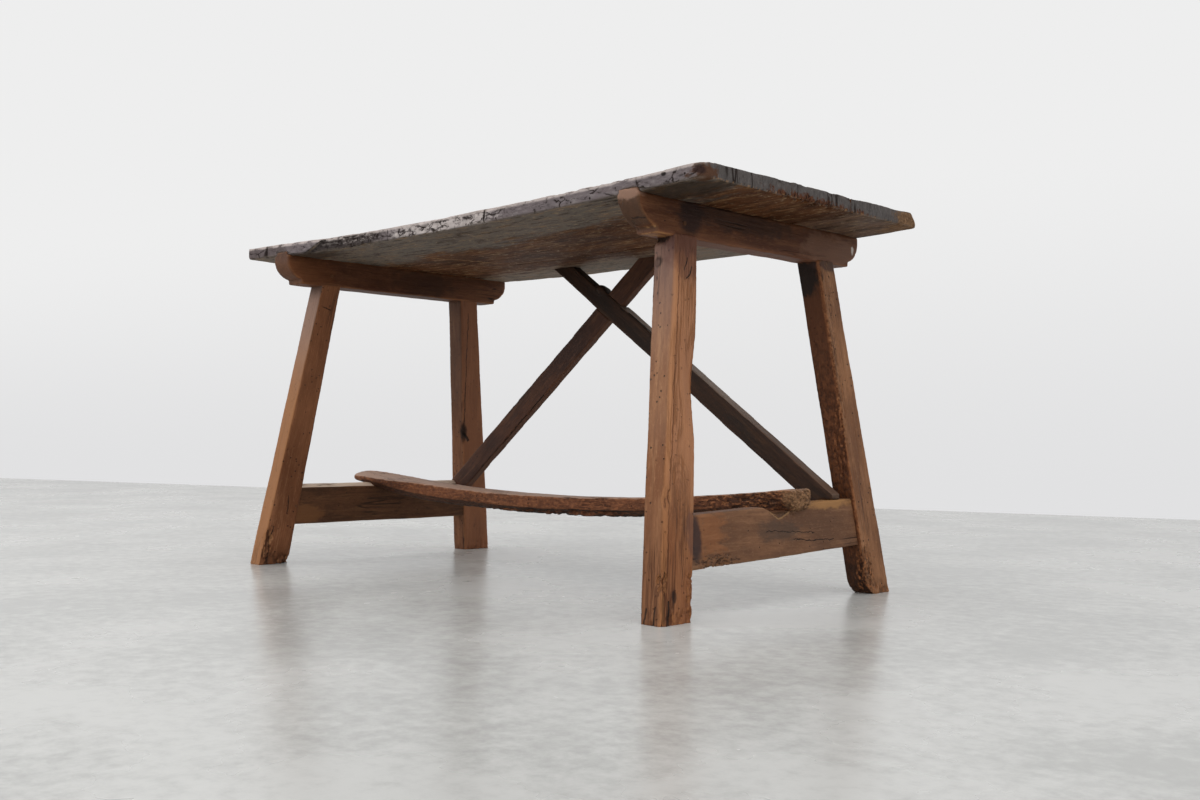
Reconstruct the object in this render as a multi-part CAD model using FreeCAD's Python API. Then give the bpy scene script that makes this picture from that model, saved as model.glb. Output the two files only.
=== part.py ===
import FreeCAD, Part
import math
import os

# Trestle table: a bowed two-board top on dovetailed cleats, splayed legs, end stretchers,
# a pair of crossed braces and a bowed foot rail. Sizes are in millimetres.
# The floor is z = 0, +x runs along the table to its right end, -y is the front long side
# and the origin lies on the floor under the middle of the top.

# Clearances shared by every joint
joint_gap = 0.2
peg_proud = 0.5

# Tabletop: it dips by the bow at mid-length, and its right back corner is worn away
top_length = 1462.0
top_width = 673.0
top_height = 770.0
top_thickness = 26.0
top_bow = 14.0
left_corner_radius = 8.0
right_corner_radius = 18.0
top_edge_radius = 3.0
worn_corner_length = 110.0
worn_corner_width = 82.0
worn_corner_drop = 20.0

# Long joint between the wide front board and the narrow back board, with hidden dowels
back_board_width = 239.0
joint_dowel_count = 4
joint_dowel_spacing = 280.0
joint_dowel_radius = 5.0
joint_dowel_length = 60.0

# Cleats: bearers across the underside, held by a sliding dovetail, with rounded lower ends
cleat_setback = 166.0
cleat_thickness = 48.0
cleat_drop = 65.5
cleat_end_step = 11.0
cleat_round_height = 34.0
cleat_round_length = 41.0
cleat_round_bulge = 7.0
dovetail_height = 8.0
dovetail_neck = 40.0
dovetail_head = 46.0

# Legs: four splayed posts, wider across the table at the foot than at the top
leg_top_shift = 3.0
leg_top_inset = 119.5
leg_splay_x = 70.0
leg_splay_y = 97.0
leg_top_size_x = 48.0
leg_top_size_y = 51.0
leg_foot_size_x = 42.0
leg_foot_size_y = 77.0
leg_chamfer = 3.5
worn_foot_radius = 32.0
leg_tenon_x = 22.0
leg_tenon_y = 34.0
leg_tenon_height = 48.0
leg_peg_radius = 4.0
leg_peg_height = 25.0

# Stretchers: low rails between the legs of each trestle; the right one climbs to the back
stretcher_thickness = 35.0
left_stretcher_bottom = 94.0
left_stretcher_height = 89.0
left_stretcher_climb = 0.0
right_stretcher_bottom = 83.0
right_stretcher_height = 94.0
right_stretcher_climb = 19.0
stretcher_tenon_thickness = 14.0
stretcher_tenon_share = 0.6
stretcher_tenon_past_axis = 10.0
stretcher_peg_radius = 3.0
stretcher_peg_inset = 11.0

# Braces: flat bars that rise from the stretchers, cross near the middle and meet the top
brace_thickness = 22.0
left_brace_width = 52.0
right_brace_width = 47.0
left_brace_leg_gap = 6.6
right_brace_leg_gap = 44.2
left_brace_set_back = 2.0
left_brace_foot_inset = 26.0
right_brace_foot_inset = 11.0
left_brace_top_s = 130.0
right_brace_top_s = -168.0
cross_peg_radius = 4.0
cross_peg_shift = -13.0
brace_dowel_radius = 4.5
brace_dowel_rise = 15.0
brace_dowel_sink = 14.0

# Foot rail: a slab that sags between the stretchers, let down a little over the left one
# and lying in a notch of the right one
rail_sag = 35.5
rail_housing = 3.5
rail_thickness = 34.0
rail_left_width = 90.0
rail_right_width = 72.0
rail_bevel_width = 15.0
rail_bevel_height = 12.0
rail_left_y = -17.0
rail_right_y = 62.0
rail_tip_overhang = 60.0
rail_tip_round = 24.0
rail_peg_radius = 4.0
rail_peg_depth = 26.0
hollow_front = 95.0
hollow_low = 62.0
hollow_back = 4.0
hollow_depth = 25.0
hollow_back_depth = 12.0

# Reach of the cutting shapes past what they cut
overcut = 60.0


def vec(x, y, z):
    """A point or a direction."""
    return FreeCAD.Vector(x, y, z)


ALONG_X = vec(1, 0, 0)
ALONG_Y = vec(0, 1, 0)
ALONG_Z = vec(0, 0, 1)


def block(x1, x2, y1, y2, z1, z2):
    """A box between two corners."""
    return Part.makeBox(x2 - x1, y2 - y1, z2 - z1, vec(x1, y1, z1))


def closed_wire(points):
    """A polygon through the points."""
    return Part.makePolygon(points + points[:1])


def prism(points, push):
    """A polygon pushed along a vector."""
    return Part.Face(closed_wire(points)).extrude(push)


def ruled(first, second):
    """A flat-sided solid between two polygons with matching corners."""
    return Part.makeLoft([closed_wire(first), closed_wire(second)], True, True)


def edge_solid(edges, push):
    """A closed chain of edges filled and pushed along a vector."""
    return Part.Face(Part.Wire(Part.__sortEdges__(edges))).extrude(push)


def rod(centre, direction, radius, length):
    """A round bar centred on a point."""
    return Part.makeCylinder(radius, length, centre - direction * (length / 2), direction)


# Positions that follow from the sizes above
half_length = top_length / 2
half_width = top_width / 2
underside_height = top_height - top_thickness
board_joint_y = half_width - back_board_width


def dip(x):
    """How far the bow has lowered the top at a distance x from the middle."""
    return top_bow * (1 - (x / half_length) ** 2)


cleat_x = half_length - cleat_setback
cleat_seat = underside_height - dip(cleat_x)
cleat_bottom = cleat_seat - cleat_drop
leg_top_x = cleat_x + leg_top_shift
leg_top_y = half_width - leg_top_inset
foot_x = leg_top_x + leg_splay_x
foot_y = leg_top_y + leg_splay_y


def between(low, high, share):
    """A value part of the way from low to high."""
    return low + (high - low) * share


def leg_axis_x(z):
    """Distance of a leg's axis from the middle of the table along x at a height."""
    return between(foot_x, leg_top_x, z / cleat_bottom)


def leg_axis_y(z):
    """Distance of a leg's axis from the middle of the table along y at a height."""
    return between(foot_y, leg_top_y, z / cleat_bottom)


def leg_half_x(z):
    """Half of a leg's size along x at a height."""
    return between(leg_foot_size_x, leg_top_size_x, z / cleat_bottom) / 2


def leg_half_y(z):
    """Half of a leg's size along y at a height."""
    return between(leg_foot_size_y, leg_top_size_y, z / cleat_bottom) / 2


def leg_inner_y(z):
    """Distance of a leg's inner face from the middle of the table along y at a height."""
    return leg_axis_y(z) - leg_half_y(z)


parts = {}


# Tabletop: a bowed slab with rounded corners and a rounded upper rim, before it is split into boards

def bow_edge(end_height):
    """An edge along x that dips by the bow at mid-length."""
    left_end = vec(-half_length, 0, end_height)
    middle = vec(0, 0, end_height - top_bow)
    right_end = vec(half_length, 0, end_height)
    return Part.Arc(left_end, middle, right_end).toShape()


def slab(lower, upper, reach):
    """A slab between two lengthwise edges that reaches the same way to the front and the back."""
    sides = [Part.makeLine(lower.Vertexes[end].Point, upper.Vertexes[end].Point) for end in (0, 1)]
    solid = edge_solid([lower, upper] + sides, ALONG_Y * (2 * reach))
    solid.translate(ALONG_Y * -reach)
    return solid


def is_upright(edge):
    """True for an edge that runs straight up."""
    way = edge.Vertexes[-1].Point - edge.Vertexes[0].Point
    return math.hypot(way.x, way.y) < joint_gap


top_slab = slab(bow_edge(underside_height), bow_edge(top_height), half_width)
for corner_side, corner_radius in ((-1, left_corner_radius), (1, right_corner_radius)):
    uprights = [edge for edge in top_slab.Edges if is_upright(edge)]
    corner_edges = [edge for edge in uprights if edge.CenterOfMass.x * corner_side > half_length / 2]
    top_slab = top_slab.makeFillet(corner_radius, corner_edges)
upper_face = max(top_slab.Faces, key=lambda face: face.CenterOfMass.z)
top_slab = top_slab.makeFillet(top_edge_radius, upper_face.Edges)


def worn_wedge(x, width, drop):
    """The outline across the table of what wear took from the right back corner."""
    corner_height = top_height - dip(x)
    outer_y = half_width + joint_gap
    inner = vec(x, outer_y - width, corner_height)
    outer = vec(x, outer_y, corner_height - drop)
    return [inner, outer, vec(x, outer_y, corner_height + overcut), vec(x, outer_y - width, corner_height + overcut)]


worn_corner = ruled(
    worn_wedge(half_length + joint_gap, worn_corner_width, worn_corner_drop),
    worn_wedge(half_length - worn_corner_length, top_edge_radius, joint_gap),
)
top_slab = top_slab.cut(worn_corner)

# Space above the underside, for trimming what stands against it from below
ceiling_line = Part.makeLine(
    vec(-half_length, 0, top_height + overcut), vec(half_length, 0, top_height + overcut)
)
above_underside = slab(bow_edge(underside_height - joint_gap), ceiling_line, half_width + overcut)


# Cleats: outline of the long side, with a flat end, a rounded corner and a small step

def cleat_end(depth):
    """The edges of one end of a cleat, from the underside of the top down to its bottom."""
    step_z = cleat_bottom + cleat_end_step
    round_z = step_z + cleat_round_height
    tip_y = half_width
    heel_y = half_width - cleat_round_length
    chord = math.hypot(cleat_round_length, cleat_round_height)
    bulge_y = (tip_y + heel_y) / 2 + cleat_round_bulge * cleat_round_height / chord
    bulge_z = (step_z + round_z) / 2 - cleat_round_bulge * cleat_round_length / chord
    flat_top = vec(0, depth * tip_y, top_height)
    round_start = vec(0, depth * tip_y, round_z)
    round_middle = vec(0, depth * bulge_y, bulge_z)
    round_end = vec(0, depth * heel_y, step_z)
    heel = vec(0, depth * heel_y, cleat_bottom)
    rounded = Part.Arc(round_start, round_middle, round_end).toShape()
    return [Part.makeLine(flat_top, round_start), rounded, Part.makeLine(round_end, heel)]


def dovetail(side, gap, reach):
    """The tongue of a cleat, or its housing where a gap is given, along the width of the top."""
    neck = dovetail_neck / 2 + gap
    head = dovetail_head / 2 + gap
    root_z = cleat_seat - dovetail_height / 2
    head_z = cleat_seat + dovetail_height + gap
    corners = [(-neck, root_z), (neck, root_z), (head, head_z), (-head, head_z)]
    points = [vec(side * cleat_x + x, -reach, z) for x, z in corners]
    return prism(points, ALONG_Y * (2 * reach))


def make_cleat(side):
    """A cleat under one end of the top, trimmed to the underside and tongued into it."""
    heel_y = half_width - cleat_round_length
    front_end = cleat_end(-1)
    back_end = cleat_end(1)
    bottom = Part.makeLine(vec(0, -heel_y, cleat_bottom), vec(0, heel_y, cleat_bottom))
    top = Part.makeLine(vec(0, -half_width, top_height), vec(0, half_width, top_height))
    body = edge_solid(front_end + back_end + [bottom, top], ALONG_X * cleat_thickness)
    body.translate(ALONG_X * (side * cleat_x - cleat_thickness / 2))
    body = body.cut(above_underside)
    tongue = dovetail(side, 0, half_width)
    return body.fuse(tongue).removeSplitter()


cleats = {-1: make_cleat(-1), 1: make_cleat(1)}
for side in (-1, 1):
    top_slab = top_slab.cut(dovetail(side, joint_gap, half_width + overcut))

# The two boards, parted at the joint and held by dowels at half their thickness
front_board = top_slab.cut(
    block(-top_length, top_length, board_joint_y - joint_gap / 2, top_width, 0, top_height + overcut)
)
back_board = top_slab.cut(
    block(-top_length, top_length, -top_width, board_joint_y + joint_gap / 2, 0, top_height + overcut)
)
joint_dowels = []
for index in range(joint_dowel_count):
    dowel_x = (index - (joint_dowel_count - 1) / 2) * joint_dowel_spacing
    dowel_z = top_height - dip(dowel_x) - top_thickness / 2
    dowel_centre = vec(dowel_x, board_joint_y, dowel_z)
    dowel_hole = rod(dowel_centre, ALONG_Y, joint_dowel_radius + joint_gap / 2, joint_dowel_length + joint_gap)
    front_board = front_board.cut(dowel_hole)
    back_board = back_board.cut(dowel_hole)
    joint_dowels.append(rod(dowel_centre, ALONG_Y, joint_dowel_radius, joint_dowel_length))
parts["top_joint_dowels"] = Part.makeCompound(joint_dowels)


# Legs: tapered posts with chamfered arrises and a tenon that stands up into the cleat

def leg_section(side, depth, z):
    """The four corners of a leg at a height."""
    x = side * leg_axis_x(z)
    y = depth * leg_axis_y(z)
    half_x = leg_half_x(z)
    half_y = leg_half_y(z)
    corners = [(-1, -1), (1, -1), (1, 1), (-1, 1)]
    return [vec(x + cx * half_x, y + cy * half_y, z) for cx, cy in corners]


def leg_tenon(side, depth, gap):
    """The tenon of a leg, or its mortise where a gap is given."""
    x = side * leg_top_x
    y = depth * leg_top_y
    half_x = leg_tenon_x / 2 + gap
    half_y = leg_tenon_y / 2 + gap
    tenon_top = cleat_bottom + leg_tenon_height + gap
    return block(x - half_x, x + half_x, y - half_y, y + half_y, cleat_bottom - leg_tenon_height, tenon_top)


def make_leg(side, depth):
    """One leg with its tenon, before the joints with the stretcher are cut."""
    post = ruled(leg_section(side, depth, 0), leg_section(side, depth, cleat_bottom))
    arrises = [edge for edge in post.Edges if edge.BoundBox.ZLength > cleat_bottom / 2]
    post = post.makeChamfer(leg_chamfer, arrises)
    return post.fuse(leg_tenon(side, depth, 0)).removeSplitter()


def foot_rounding():
    """What wear took from the front of the right back foot."""
    radius = worn_foot_radius
    face_y = leg_inner_y(radius)
    inner_x = foot_x - leg_foot_size_x
    outer_x = foot_x + leg_foot_size_x
    corner = block(inner_x, outer_x, face_y - overcut, face_y + radius, 0, radius)
    round_axis = vec(foot_x, face_y + radius, radius)
    return corner.cut(rod(round_axis, ALONG_X, radius, 2 * leg_foot_size_x + overcut))


legs = {(side, depth): make_leg(side, depth) for side in (-1, 1) for depth in (-1, 1)}
legs[1, 1] = legs[1, 1].cut(foot_rounding())

side_names = {-1: "left", 1: "right"}
depth_names = {-1: "front", 1: "back"}
for (side, depth), leg in legs.items():
    name = side_names[side] + "_" + depth_names[depth] + "_leg"
    peg_centre = vec(side * cleat_x, depth * leg_top_y, cleat_bottom + leg_peg_height)
    peg_hole = rod(peg_centre, ALONG_X, leg_peg_radius + joint_gap / 2, cleat_thickness + overcut)
    cleats[side] = cleats[side].cut(leg_tenon(side, depth, joint_gap)).cut(peg_hole)
    legs[side, depth] = leg.cut(peg_hole)
    parts[name + "_peg"] = rod(peg_centre, ALONG_X, leg_peg_radius, cleat_thickness + 2 * peg_proud)


# Stretchers: each lies in the leaning plane of its two legs, cut to their faces and tenoned in

stretcher_bottom = {-1: left_stretcher_bottom, 1: right_stretcher_bottom}
stretcher_height = {-1: left_stretcher_height, 1: right_stretcher_height}
stretcher_climb = {-1: left_stretcher_climb, 1: right_stretcher_climb}
stretcher_span = 2 * foot_y


def stretcher_low(side, y):
    """Height of a stretcher's lower edge at a distance y from the middle."""
    return stretcher_bottom[side] + stretcher_climb[side] * (y / stretcher_span + 0.5)


def stretcher_top(side, y):
    """Height of a stretcher's upper edge at a distance y from the middle."""
    return stretcher_low(side, y) + stretcher_height[side]


def stretcher_section(side, y, share, thickness):
    """The four corners of a stretcher, or of its tenon, at a distance y from the middle."""
    middle_z = stretcher_low(side, y) + stretcher_height[side] / 2
    low_z = middle_z - stretcher_height[side] * share / 2
    high_z = middle_z + stretcher_height[side] * share / 2
    low_x = side * leg_axis_x(low_z)
    high_x = side * leg_axis_x(high_z)
    half = thickness / 2
    return [vec(low_x - half, y, low_z), vec(low_x + half, y, low_z),
            vec(high_x + half, y, high_z), vec(high_x - half, y, high_z)]


def stretcher_bar(side, start_y, end_y, share, thickness):
    """A bar along y in the leaning plane of a trestle."""
    return ruled(
        stretcher_section(side, start_y, share, thickness),
        stretcher_section(side, end_y, share, thickness),
    )


stretchers = {}
for side in (-1, 1):
    mid_z = stretcher_low(side, 0) + stretcher_height[side] / 2
    axis_y = leg_axis_y(mid_z)
    tenon_end = axis_y + stretcher_tenon_past_axis
    bar = stretcher_bar(side, -axis_y, axis_y, 1, stretcher_thickness)
    for depth in (-1, 1):
        bar = bar.cut(legs[side, depth])
    tenon = stretcher_bar(side, -tenon_end, tenon_end, stretcher_tenon_share, stretcher_tenon_thickness)
    mortise = stretcher_bar(
        side, -tenon_end - joint_gap, tenon_end + joint_gap,
        stretcher_tenon_share + 2 * joint_gap / stretcher_height[side],
        stretcher_tenon_thickness + 2 * joint_gap,
    )
    stretcher = bar.fuse(tenon).removeSplitter()
    for depth in (-1, 1):
        name = side_names[side] + "_" + depth_names[depth] + "_stretcher_peg"
        peg_y = leg_inner_y(mid_z) + stretcher_peg_inset
        peg_z = stretcher_low(side, depth * peg_y) + stretcher_height[side] / 2
        peg_centre = vec(side * leg_axis_x(peg_z), depth * peg_y, peg_z)
        peg_length = 2 * (leg_half_x(peg_z) + peg_proud)
        peg_hole = rod(peg_centre, ALONG_X, stretcher_peg_radius + joint_gap / 2, peg_length + overcut)
        legs[side, depth] = legs[side, depth].cut(mortise).cut(peg_hole)
        stretcher = stretcher.cut(peg_hole)
        parts[name] = rod(peg_centre, ALONG_X, stretcher_peg_radius, peg_length)
    stretchers[side] = stretcher


# Foot rail: a slab bent along a large circle, tapered in plan, with a rounded left tip

stretcher_x = leg_axis_x(stretcher_top(-1, 0))
rail_mid_height = stretcher_top(-1, 0) + rail_thickness - rail_housing - rail_sag
bend_radius = (stretcher_x ** 2 + rail_sag ** 2) / (2 * rail_sag)
rail_tip_x = -(stretcher_x + rail_tip_overhang)
right_top_x = leg_axis_x(stretcher_top(1, rail_right_y))
rail_end_x = right_top_x + stretcher_thickness / 2
rail_turn = math.degrees(math.atan2(rail_right_y - rail_left_y, rail_end_x - rail_tip_x))
rail_mid_y = between(rail_left_y, rail_right_y, -rail_tip_x / (rail_end_x - rail_tip_x))


def rail_section(gap):
    """The outline across the rail at mid-length, wider and deeper by a gap where one is given."""
    half = rail_left_width / 2 + gap
    top_z = rail_mid_height
    side_z = rail_mid_height - rail_thickness + rail_bevel_height - gap
    bottom_z = rail_mid_height - rail_thickness - gap
    flat = half - rail_bevel_width
    corners = [(-half, top_z), (half, top_z), (half, side_z)]
    corners += [(flat, bottom_z), (-flat, bottom_z), (-half, side_z)]
    return [vec(0, y, z) for y, z in corners]


def place_rail(shape):
    """Turns and moves a shape from the rail's own axis to its place across the stretchers."""
    shape.rotate(vec(0, 0, 0), ALONG_Z, rail_turn)
    shape.translate(ALONG_Y * rail_mid_y)
    return shape


def make_rail(gap):
    """The rail, or a slightly larger copy of it for cutting its seat."""
    bend_centre = vec(0, 0, rail_mid_height + bend_radius)
    sweep = math.degrees(math.asin((overcut - rail_tip_x) / bend_radius))
    start_face = Part.Face(closed_wire(rail_section(gap)))
    start_face.rotate(bend_centre, ALONG_Y, -sweep)
    bent = start_face.revolve(bend_centre, ALONG_Y, 2 * sweep)
    left_half = rail_left_width / 2 + gap
    right_half = rail_right_width / 2 + gap
    far_x = rail_end_x + overcut
    shoulder_x = rail_tip_x + rail_tip_round
    front_left = vec(shoulder_x, -left_half, 0)
    back_left = vec(shoulder_x, left_half, 0)
    front_right = vec(far_x, -right_half, 0)
    back_right = vec(far_x, right_half, 0)
    tip = Part.Arc(back_left, vec(rail_tip_x, 0, 0), front_left).toShape()
    outline = [Part.makeLine(front_left, front_right), Part.makeLine(front_right, back_right)]
    outline += [Part.makeLine(back_right, back_left), tip]
    plan = edge_solid(outline, ALONG_Z * top_height)
    return place_rail(bent.common(plan))


left_seat = block(
    -top_length, -stretcher_x + stretcher_thickness / 2 + peg_proud, -top_width, top_width,
    0, stretcher_top(-1, 0),
)
right_trim = block(rail_end_x, top_length, -top_width, top_width, 0, top_height)
rail = make_rail(0).cut(left_seat).cut(right_trim)

# The seat of the rail in the right stretcher, and the hollow worn beside it
hollow_rim = stretcher_top(1, rail_right_y - hollow_front)
hollow_points = [
    vec(0, rail_right_y - hollow_front, hollow_rim),
    vec(0, rail_right_y - hollow_low, hollow_rim - hollow_depth),
    vec(0, rail_right_y - hollow_back, hollow_rim - hollow_back_depth),
]
hollow_top = [
    vec(0, rail_right_y - hollow_back, hollow_rim + overcut),
    vec(0, rail_right_y - hollow_front, hollow_rim + overcut),
]
hollow_edges = [
    Part.Arc(*hollow_points).toShape(),
    Part.makeLine(hollow_points[2], hollow_top[0]),
    Part.makeLine(hollow_top[0], hollow_top[1]),
    Part.makeLine(hollow_top[1], hollow_points[0]),
]
hollow = edge_solid(hollow_edges, ALONG_X * top_length)
stretchers[1] = stretchers[1].cut(make_rail(joint_gap)).cut(hollow)

for side in (-1, 1):
    peg_x = side * leg_axis_x(stretcher_top(side, 0))
    peg_y = rail_mid_y + peg_x * math.tan(math.radians(rail_turn))
    peg_top = rail_mid_height + rail_sag * (peg_x / stretcher_x) ** 2 + peg_proud
    peg_bottom = peg_top - rail_thickness - rail_peg_depth
    peg_centre = vec(peg_x, peg_y, (peg_top + peg_bottom) / 2)
    peg_hole = rod(peg_centre, ALONG_Z, rail_peg_radius + joint_gap / 2, peg_top - peg_bottom + joint_gap)
    rail = rail.cut(peg_hole)
    stretchers[side] = stretchers[side].cut(peg_hole)
    parts[side_names[side] + "_rail_peg"] = rod(peg_centre, ALONG_Z, rail_peg_radius, peg_top - peg_bottom)
parts["foot_rail"] = rail


# Braces: drawn in their own upright plane, s along it and n behind it, then turned into place

brace_back = left_brace_set_back + brace_thickness
brace_plane_left_y = leg_inner_y(stretcher_top(-1, 0)) - left_brace_leg_gap - brace_back
brace_plane_right_y = leg_inner_y(stretcher_top(1, 0)) - right_brace_leg_gap - brace_thickness
brace_mid_y = (brace_plane_left_y + brace_plane_right_y) / 2
brace_turn = math.degrees(math.atan2(brace_plane_right_y - brace_plane_left_y, 2 * stretcher_x))


def place_brace(shape):
    """Turns and moves a shape from the plane of the braces to its place behind the middle."""
    shape.rotate(vec(0, 0, 0), ALONG_Z, brace_turn)
    shape.translate(ALONG_Y * brace_mid_y)
    return shape


def brace_y(s):
    """Distance of the front of the plane of the braces from the middle of the table."""
    return brace_mid_y + s * math.sin(math.radians(brace_turn))


class BraceLine:
    """The middle line of a brace from its foot on a stretcher to its head under the top."""

    def __init__(self, side, foot_inset, head_s, width):
        foot_s = side * (stretcher_x - foot_inset)
        foot_z = stretcher_top(side, brace_y(foot_s))
        head_z = underside_height - dip(head_s)
        self.foot = vec(foot_s, 0, foot_z)
        self.head = vec(head_s, 0, head_z)
        self.way = (self.head - self.foot).normalize()
        self.across = vec(-self.way.z, 0, self.way.x)
        self.half = width / 2

    def bar(self, front, back, gap):
        """The brace as a straight bar between two depths, run past both ends."""
        start = self.foot - self.way * (3 * self.half)
        end = self.head + self.way * (3 * self.half)
        side_step = self.across * (self.half + gap)
        points = [start - side_step, end - side_step, end + side_step, start + side_step]
        for point in points:
            point.y = front
        return prism(points, ALONG_Y * (back - front))

    def cross(self, other):
        """The point where two middle lines meet."""
        gap = other.foot - self.foot
        turn = self.way.x * other.way.z - self.way.z * other.way.x
        along = (gap.x * other.way.z - gap.z * other.way.x) / turn
        return self.foot + self.way * along


left_line = BraceLine(-1, left_brace_foot_inset, left_brace_top_s, left_brace_width)
right_line = BraceLine(1, right_brace_foot_inset, right_brace_top_s, right_brace_width)
lap_depth = brace_back / 2

left_blank = left_line.bar(left_brace_set_back, brace_back, 0)
left_blank = left_blank.cut(right_line.bar(-overcut, lap_depth + joint_gap / 2, joint_gap))
right_blank = right_line.bar(0, brace_thickness, 0)
right_blank = right_blank.cut(left_line.bar(lap_depth - joint_gap / 2, overcut, joint_gap))

crossing = left_line.cross(right_line)
cross_peg_centre = vec(crossing.x + cross_peg_shift, brace_back / 2, crossing.z - cross_peg_shift * left_line.way.z)
cross_peg_length = brace_back + 2 * peg_proud
cross_hole = rod(cross_peg_centre, ALONG_Y, cross_peg_radius + joint_gap / 2, cross_peg_length + overcut)
parts["cross_peg"] = place_brace(rod(cross_peg_centre, ALONG_Y, cross_peg_radius, cross_peg_length))
braces = {-1: place_brace(left_blank.cut(cross_hole)), 1: place_brace(right_blank.cut(cross_hole))}
brace_lines = {-1: left_line, 1: right_line}
brace_fronts = {-1: left_brace_set_back, 1: 0.0}


def below_stretcher_top(side):
    """The space under the upper edge of a stretcher, for the foot of a brace to stand on."""
    near_x = side * overcut
    corners = [(-half_width, 0), (half_width, 0)]
    corners += [(half_width, stretcher_top(side, half_width)), (-half_width, stretcher_top(side, -half_width))]
    return prism([vec(near_x, y, z) for y, z in corners], ALONG_X * (side * top_length))


def past_stretcher(side):
    """The space outside the outer face of a stretcher at its top."""
    outer_x = leg_axis_x(stretcher_top(side, brace_mid_y)) + stretcher_thickness / 2
    far_x = outer_x + top_length
    return block(min(side * outer_x, side * far_x), max(side * outer_x, side * far_x),
                 -top_width, top_width, 0, top_height)


for side in (-1, 1):
    line = brace_lines[side]
    middle_n = brace_fronts[side] + brace_thickness / 2
    foot_s = side * leg_axis_x(stretcher_top(side, brace_mid_y))
    foot_z = stretcher_top(side, brace_y(foot_s))
    dowels = {"foot": (foot_s, foot_z, -1), "top": (line.head.x, line.head.z, 1)}
    brace = braces[side].cut(below_stretcher_top(side)).cut(past_stretcher(side)).cut(above_underside)
    for end, (dowel_s, seat_z, outward) in dowels.items():
        near_z = seat_z - outward * brace_dowel_rise
        far_z = seat_z + outward * brace_dowel_sink
        centre = vec(dowel_s, middle_n, (near_z + far_z) / 2)
        length = brace_dowel_rise + brace_dowel_sink
        hole = place_brace(rod(centre, ALONG_Z, brace_dowel_radius + joint_gap / 2, length + joint_gap))
        brace = brace.cut(hole)
        if end == "foot":
            stretchers[side] = stretchers[side].cut(hole)
        else:
            back_board = back_board.cut(hole)
        dowel = place_brace(rod(centre, ALONG_Z, brace_dowel_radius, length))
        parts[side_names[side] + "_brace_" + end + "_dowel"] = dowel
    parts[side_names[side] + "_brace"] = brace

# The pieces that were cut step by step
parts["top_front_board"] = front_board
parts["top_back_board"] = back_board
for side in (-1, 1):
    parts[side_names[side] + "_cleat"] = cleats[side]
    parts[side_names[side] + "_stretcher"] = stretchers[side]
    for depth in (-1, 1):
        parts[side_names[side] + "_" + depth_names[depth] + "_leg"] = legs[side, depth]

# Each piece goes to a file of its own
os.makedirs("parts", exist_ok=True)
for name in sorted(parts):
    shape = parts[name]
    print(name, "solids", len(shape.Solids), "valid", shape.isValid(), "volume", round(shape.Volume))
    shape.exportStep("parts/" + name + ".step")
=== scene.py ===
# %% [markdown]
# # An old trestle table
# This lesson dresses the plain solids of an old workshop table as what they are: hand-hewn timber that
# has been waxed, worn, split and eaten by worm. The solids come in as a fixed frame, and every timber is
# then modelled again over its own solid. All lengths are in metres, x runs along the table to its right
# end, y to its back and z up from the floor.

# %% The frame
import bmesh
import bpy
import math
from mathutils import Matrix, Vector


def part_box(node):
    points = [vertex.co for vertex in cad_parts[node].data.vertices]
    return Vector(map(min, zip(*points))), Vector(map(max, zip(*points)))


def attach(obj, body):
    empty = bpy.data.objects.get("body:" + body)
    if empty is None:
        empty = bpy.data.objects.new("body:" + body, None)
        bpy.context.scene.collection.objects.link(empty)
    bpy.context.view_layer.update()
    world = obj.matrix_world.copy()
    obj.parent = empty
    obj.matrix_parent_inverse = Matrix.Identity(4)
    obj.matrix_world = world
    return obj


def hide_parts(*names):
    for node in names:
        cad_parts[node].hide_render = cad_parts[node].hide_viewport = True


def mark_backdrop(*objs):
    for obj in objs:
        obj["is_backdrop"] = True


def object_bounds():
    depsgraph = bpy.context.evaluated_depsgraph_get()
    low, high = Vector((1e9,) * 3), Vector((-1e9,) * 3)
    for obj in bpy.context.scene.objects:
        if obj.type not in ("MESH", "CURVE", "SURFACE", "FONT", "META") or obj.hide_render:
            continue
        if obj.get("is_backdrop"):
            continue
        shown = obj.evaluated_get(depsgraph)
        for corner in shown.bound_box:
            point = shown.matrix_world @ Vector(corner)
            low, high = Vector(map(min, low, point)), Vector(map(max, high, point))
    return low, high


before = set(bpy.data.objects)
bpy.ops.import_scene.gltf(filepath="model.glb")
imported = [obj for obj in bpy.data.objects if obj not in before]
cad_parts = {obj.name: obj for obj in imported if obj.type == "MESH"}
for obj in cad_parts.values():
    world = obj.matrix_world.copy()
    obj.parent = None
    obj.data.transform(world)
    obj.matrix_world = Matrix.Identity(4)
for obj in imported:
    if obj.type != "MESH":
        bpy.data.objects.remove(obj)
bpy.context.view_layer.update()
mm = 0.001

# %% [markdown]
# ## Camera
# A camera is easiest to set from what can be measured in a picture: where it stood, how far it was turned
# from the table's long side, how far it looked up and how far it leaned. The three directions of a
# camera, right, up and backwards, are the columns of its matrix, so no constraint or target is needed.

# %% Camera
camera_place = Vector((2.0217, -1.8816, 0.3158))
camera_turn = math.radians(44.61)
camera_rise = math.radians(1.67)
camera_roll = math.radians(0.55)
sensor_width = 36.0
picture_width_pixels = 1200
focal_length_pixels = 1229.22

ahead = Vector((
    -math.sin(camera_turn) * math.cos(camera_rise),
    math.cos(camera_turn) * math.cos(camera_rise),
    math.sin(camera_rise),
))
level_right = Vector((math.cos(camera_turn), math.sin(camera_turn), 0))
level_up = level_right.cross(ahead)
right = level_right * math.cos(camera_roll) + level_up * math.sin(camera_roll)
up = level_up * math.cos(camera_roll) - level_right * math.sin(camera_roll)

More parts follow.
